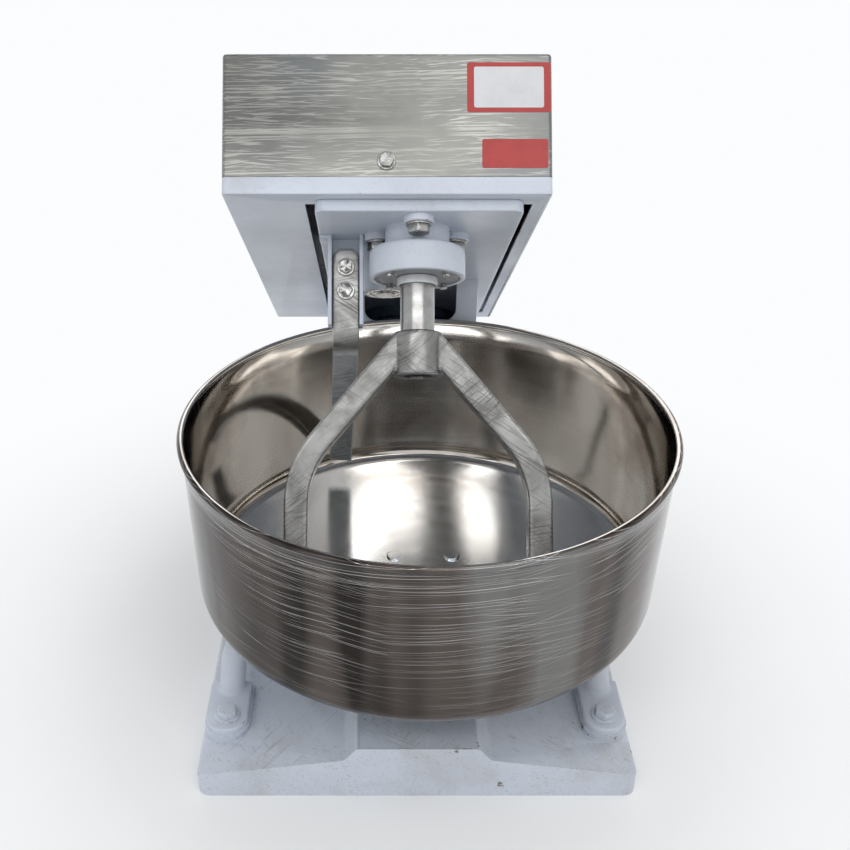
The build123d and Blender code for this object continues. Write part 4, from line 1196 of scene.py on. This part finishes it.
def makeBolts():
    up, down, ahead, behind = (0, 0, 1), (0, 0, -1), (0, -1, 0), (0, 1, 0)
    p, stand, column, cover = named(boltPlaces), named(standShape), named(columnShape), named(coverShape)
    ears, lid, bar = named(housingShape), named(lidShape), named(scraperShape)
    lugX, lugY = stand.end[0], stand.end[1] + stand.bolt
    boltRow("standBolts", "stand_bolts", "foot", 3, upright,
            [((lugX * x, lugY * y, stand.lugTop), up) for x, y in pairs], finish="base")
    footX, footY = (column.half + column.footHalf) / 2, (column.footFront + column.footRear) / 2
    boltRow("columnBolts", "column_bolts", "foot", 4, upright,
            [((footX * x, footY + p.columnGap * y, column.low), up) for x, y in pairs])
    middle = (cover.front + cover.rear) / 2
    boltRow("coverBolts", "cover_bolts", "cover", 6, head,
            [((p.coverX, cover.front, p.coverLevel), ahead), ((p.coverX, cover.rear, p.coverLevel), behind),
             ((cover.left, middle, p.coverLevel), (-1, 0, 0)),
             ((cover.right, middle, p.coverLevel), (1, 0, 0))])
    boltRow("housingBolts", "housing_bolts", "ear", 2, head,
            [((*spot, ears.earLow), down) for spot in roundSpots(ears.earCircle, ears.ears, ears.earFrom)])
    boltRow("lidScrews", "lid_screws", "small", 8, head,
            [((*spot, lid.low), down) for spot in roundSpots(p.lidCircle, p.lidScrews, p.lidFrom)])
    boltRow("scraperBolts", "scraper_bolts", "bracket", 9, head,
            [((bar.x, bar.y - bar.thick / 2, level), ahead) for level in p.scraperLevels])
    boltRow("panelScrews", "rear_panel_screws", "small", 12, head,
            [((p.panelX * x, cover.rear, p.panelLevel + p.panelStep * k), behind)
             for x in (-1, 1) for k in (-1, 0, 1)])
    boltRow("forkBolt", "fork_bolt", "cover", 1, head, [((0, 0, forkShape["cupDepth"]), down)], "beater")


def makeWelds():
    s = named(columnShape)
    mesh = bpy.data.meshes.new("draft")
    ends = [(-s.half, s.heel), (-s.half, s.front), (s.half, s.front), (s.half, s.heel)]
    mesh.from_pydata([(x, y, s.low) for x, y in ends], [(0, 1), (1, 2), (2, 3)], [])
    w = named(weldShape)
    piece = grown(linked(mesh), weldNodes, Step=w.step, Size=w.size, Seed=w.seed)
    seat(shaded(piece, 60), "columnWeld", "frame", place=upright)


for make in (makeBowl, makeFork, makeSpindle, makeSeal, makeHousing, makeLid, makePlate, makeTube, makeRail,
             makeCover, makeLabels, makeBracket, makeScraper, makeBase, makeStand, makeColumn, makeBolts,
             makeWelds):
    make()
    print("made:", make.__name__[4:].lower())


# Finishes of the nodes that keep their own shape

keptFinishes = {
    "hub": ["bowl_hub"],
    "bowl": ["hub_bolts"],
    "zinc": ["bowl_circlip", "gear_nut", "pulley_nut", "motor_bolts"],
    "bronze": ["bowl_bush"],
    "race": ["bowl_thrust_bearing", "spindle_bearing_lower", "spindle_bearing_upper",
             "countershaft_bearing_lower", "countershaft_bearing_upper"],
    "shaft": ["spindle_gear", "pinion_shaft", "motor_shaft"],
    "iron": ["large_pulley", "motor_pulley"],
    "rubber": ["v_belt"],
    "motor": ["motor_front_shield", "motor_body", "motor_rear_shield", "fan_cover"],
    "plastic": ["cooling_fan", "cable_gland"],
    "frame": ["rear_panel"],
}
for finish, names in keptFinishes.items():
    for name in names:
        nodes[name].data.materials.clear()
        nodes[name].data.materials.append(finishes[finish])
print("kept nodes finished:", sum(len(names) for names in keptFinishes.values()))


# Floor, light and camera

stageLook = dict(
    floor=(0.93, 0.93, 0.925, 1), patch=(0.91, 0.91, 0.905, 1), rough=0.75, size=6.0, cloud=3.0,
    world=(0.965, 0.98, 1.0, 1), strength=0.69, horizon=1.0, ceiling=0.44, bend=(0.30, 0.62), front=0.36,
    near=0.36, far=0.8)
lamps = [
    {"name": "overhead", "spot": (0.4, -0.3, 2.6), "aim": (0.0, 0.1, 0.3), "size": (1.5, 1.5), "power": 9.0},
    {"name": "front", "spot": (0.0, -1.8, 2.3), "aim": (0.0, 0.1, 0.3), "size": (3.6, 0.5), "power": 19.0},
    {"name": "rear", "spot": (0.1, 2.3, 1.9), "aim": (0.0, 0.0, 0.2), "size": (2.6, 1.5), "power": 17.0},
]
eye = dict(spot=(-0.040, -1.012, 0.894), pitch=32.0, lens=47.0, sensor=36.0, shift=(0.055, 0.059))


def seenRays(net):
    # rays that end in the eye, straight or by a mirror or glass
    rays = net.put("ShaderNodeLightPath").outputs
    seen = net.math("MAXIMUM", rays["Is Camera Ray"], rays["Is Glossy Ray"])
    return net.math("MAXIMUM", seen, rays["Is Transmission Ray"])


def makeFloor():
    s = named(stageLook)
    net = newMaterial("pale floor")
    cloud = net.noise(net.coords, s.cloud, 4.0, 0.6)
    material = net.feed(color=net.toned(cloud, 0.3, 0.7, s.floor, s.patch), rough=s.rough)
    # away from the object the floor runs out into plain white
    away = net.ranged(net.vector("LENGTH", net.coords, result="Value"), s.near, s.far)
    glow = net.put("ShaderNodeEmission", {"Color": s.world, "Strength": s.horizon}).outputs[0]
    share = net.times(away, seenRays(net))
    shown = net.put("ShaderNodeMixShader", {0: share, 1: net.shader.outputs[0], 2: glow}).outputs[0]
    net.wire(shown, net.tree.nodes["Material Output"].inputs[0])
    bm = bmesh.new()
    bmesh.ops.create_grid(bm, x_segments=1, y_segments=1, size=s.size)
    floor = pieceFrom(bm)
    floor.name = "floor"
    floor.data.materials.append(material)


def makeWorld():
    # white behind the object, greyer overhead, and a plain even light for the rest
    s = named(stageLook)
    world = bpy.data.worlds.new("soft room")
    world.use_nodes = True
    net = nodeNet(world.node_tree)
    parts = net.split(net.put("ShaderNodeTexCoord").outputs["Generated"])
    front = net.ranged(parts[1], 0.1, -0.5, 0.0, s.front)
    shown = net.ranged(net.minus(parts[2], front), *s.bend, s.horizon, s.ceiling)
    extra = net.times(seenRays(net), net.minus(shown, s.strength))
    sky = net.tree.nodes["Background"]
    net.wire(s.world, sky.inputs["Color"])
    net.wire(net.plus(extra, s.strength), sky.inputs["Strength"])
    bpy.context.scene.world = world


def makeLamps():
    for lamp in lamps:
        data = bpy.data.lights.new(lamp["name"], "AREA")
        data.shape = "RECTANGLE"
        data.size, data.size_y = lamp["size"]
        data.energy = lamp["power"]
        light = linked(data)
        light.location = lamp["spot"]
        way = Vector(lamp["aim"]) - Vector(lamp["spot"])
        light.rotation_euler = way.to_track_quat("-Z", "Y").to_euler()


def makeCamera():
    data = bpy.data.cameras.new("camera")
    data.lens = eye["lens"]
    data.sensor_width = eye["sensor"]
    data.shift_x, data.shift_y = eye["shift"]
    data.dof.use_dof = False
    camera = linked(data)
    camera.location = eye["spot"]
    camera.rotation_euler = (math.radians(90 - eye["pitch"]), 0, 0)
    bpy.context.scene.camera = camera


makeFloor()
makeWorld()
makeLamps()
makeCamera()
bpy.context.scene.view_settings.view_transform = "Standard"
print("stage set")
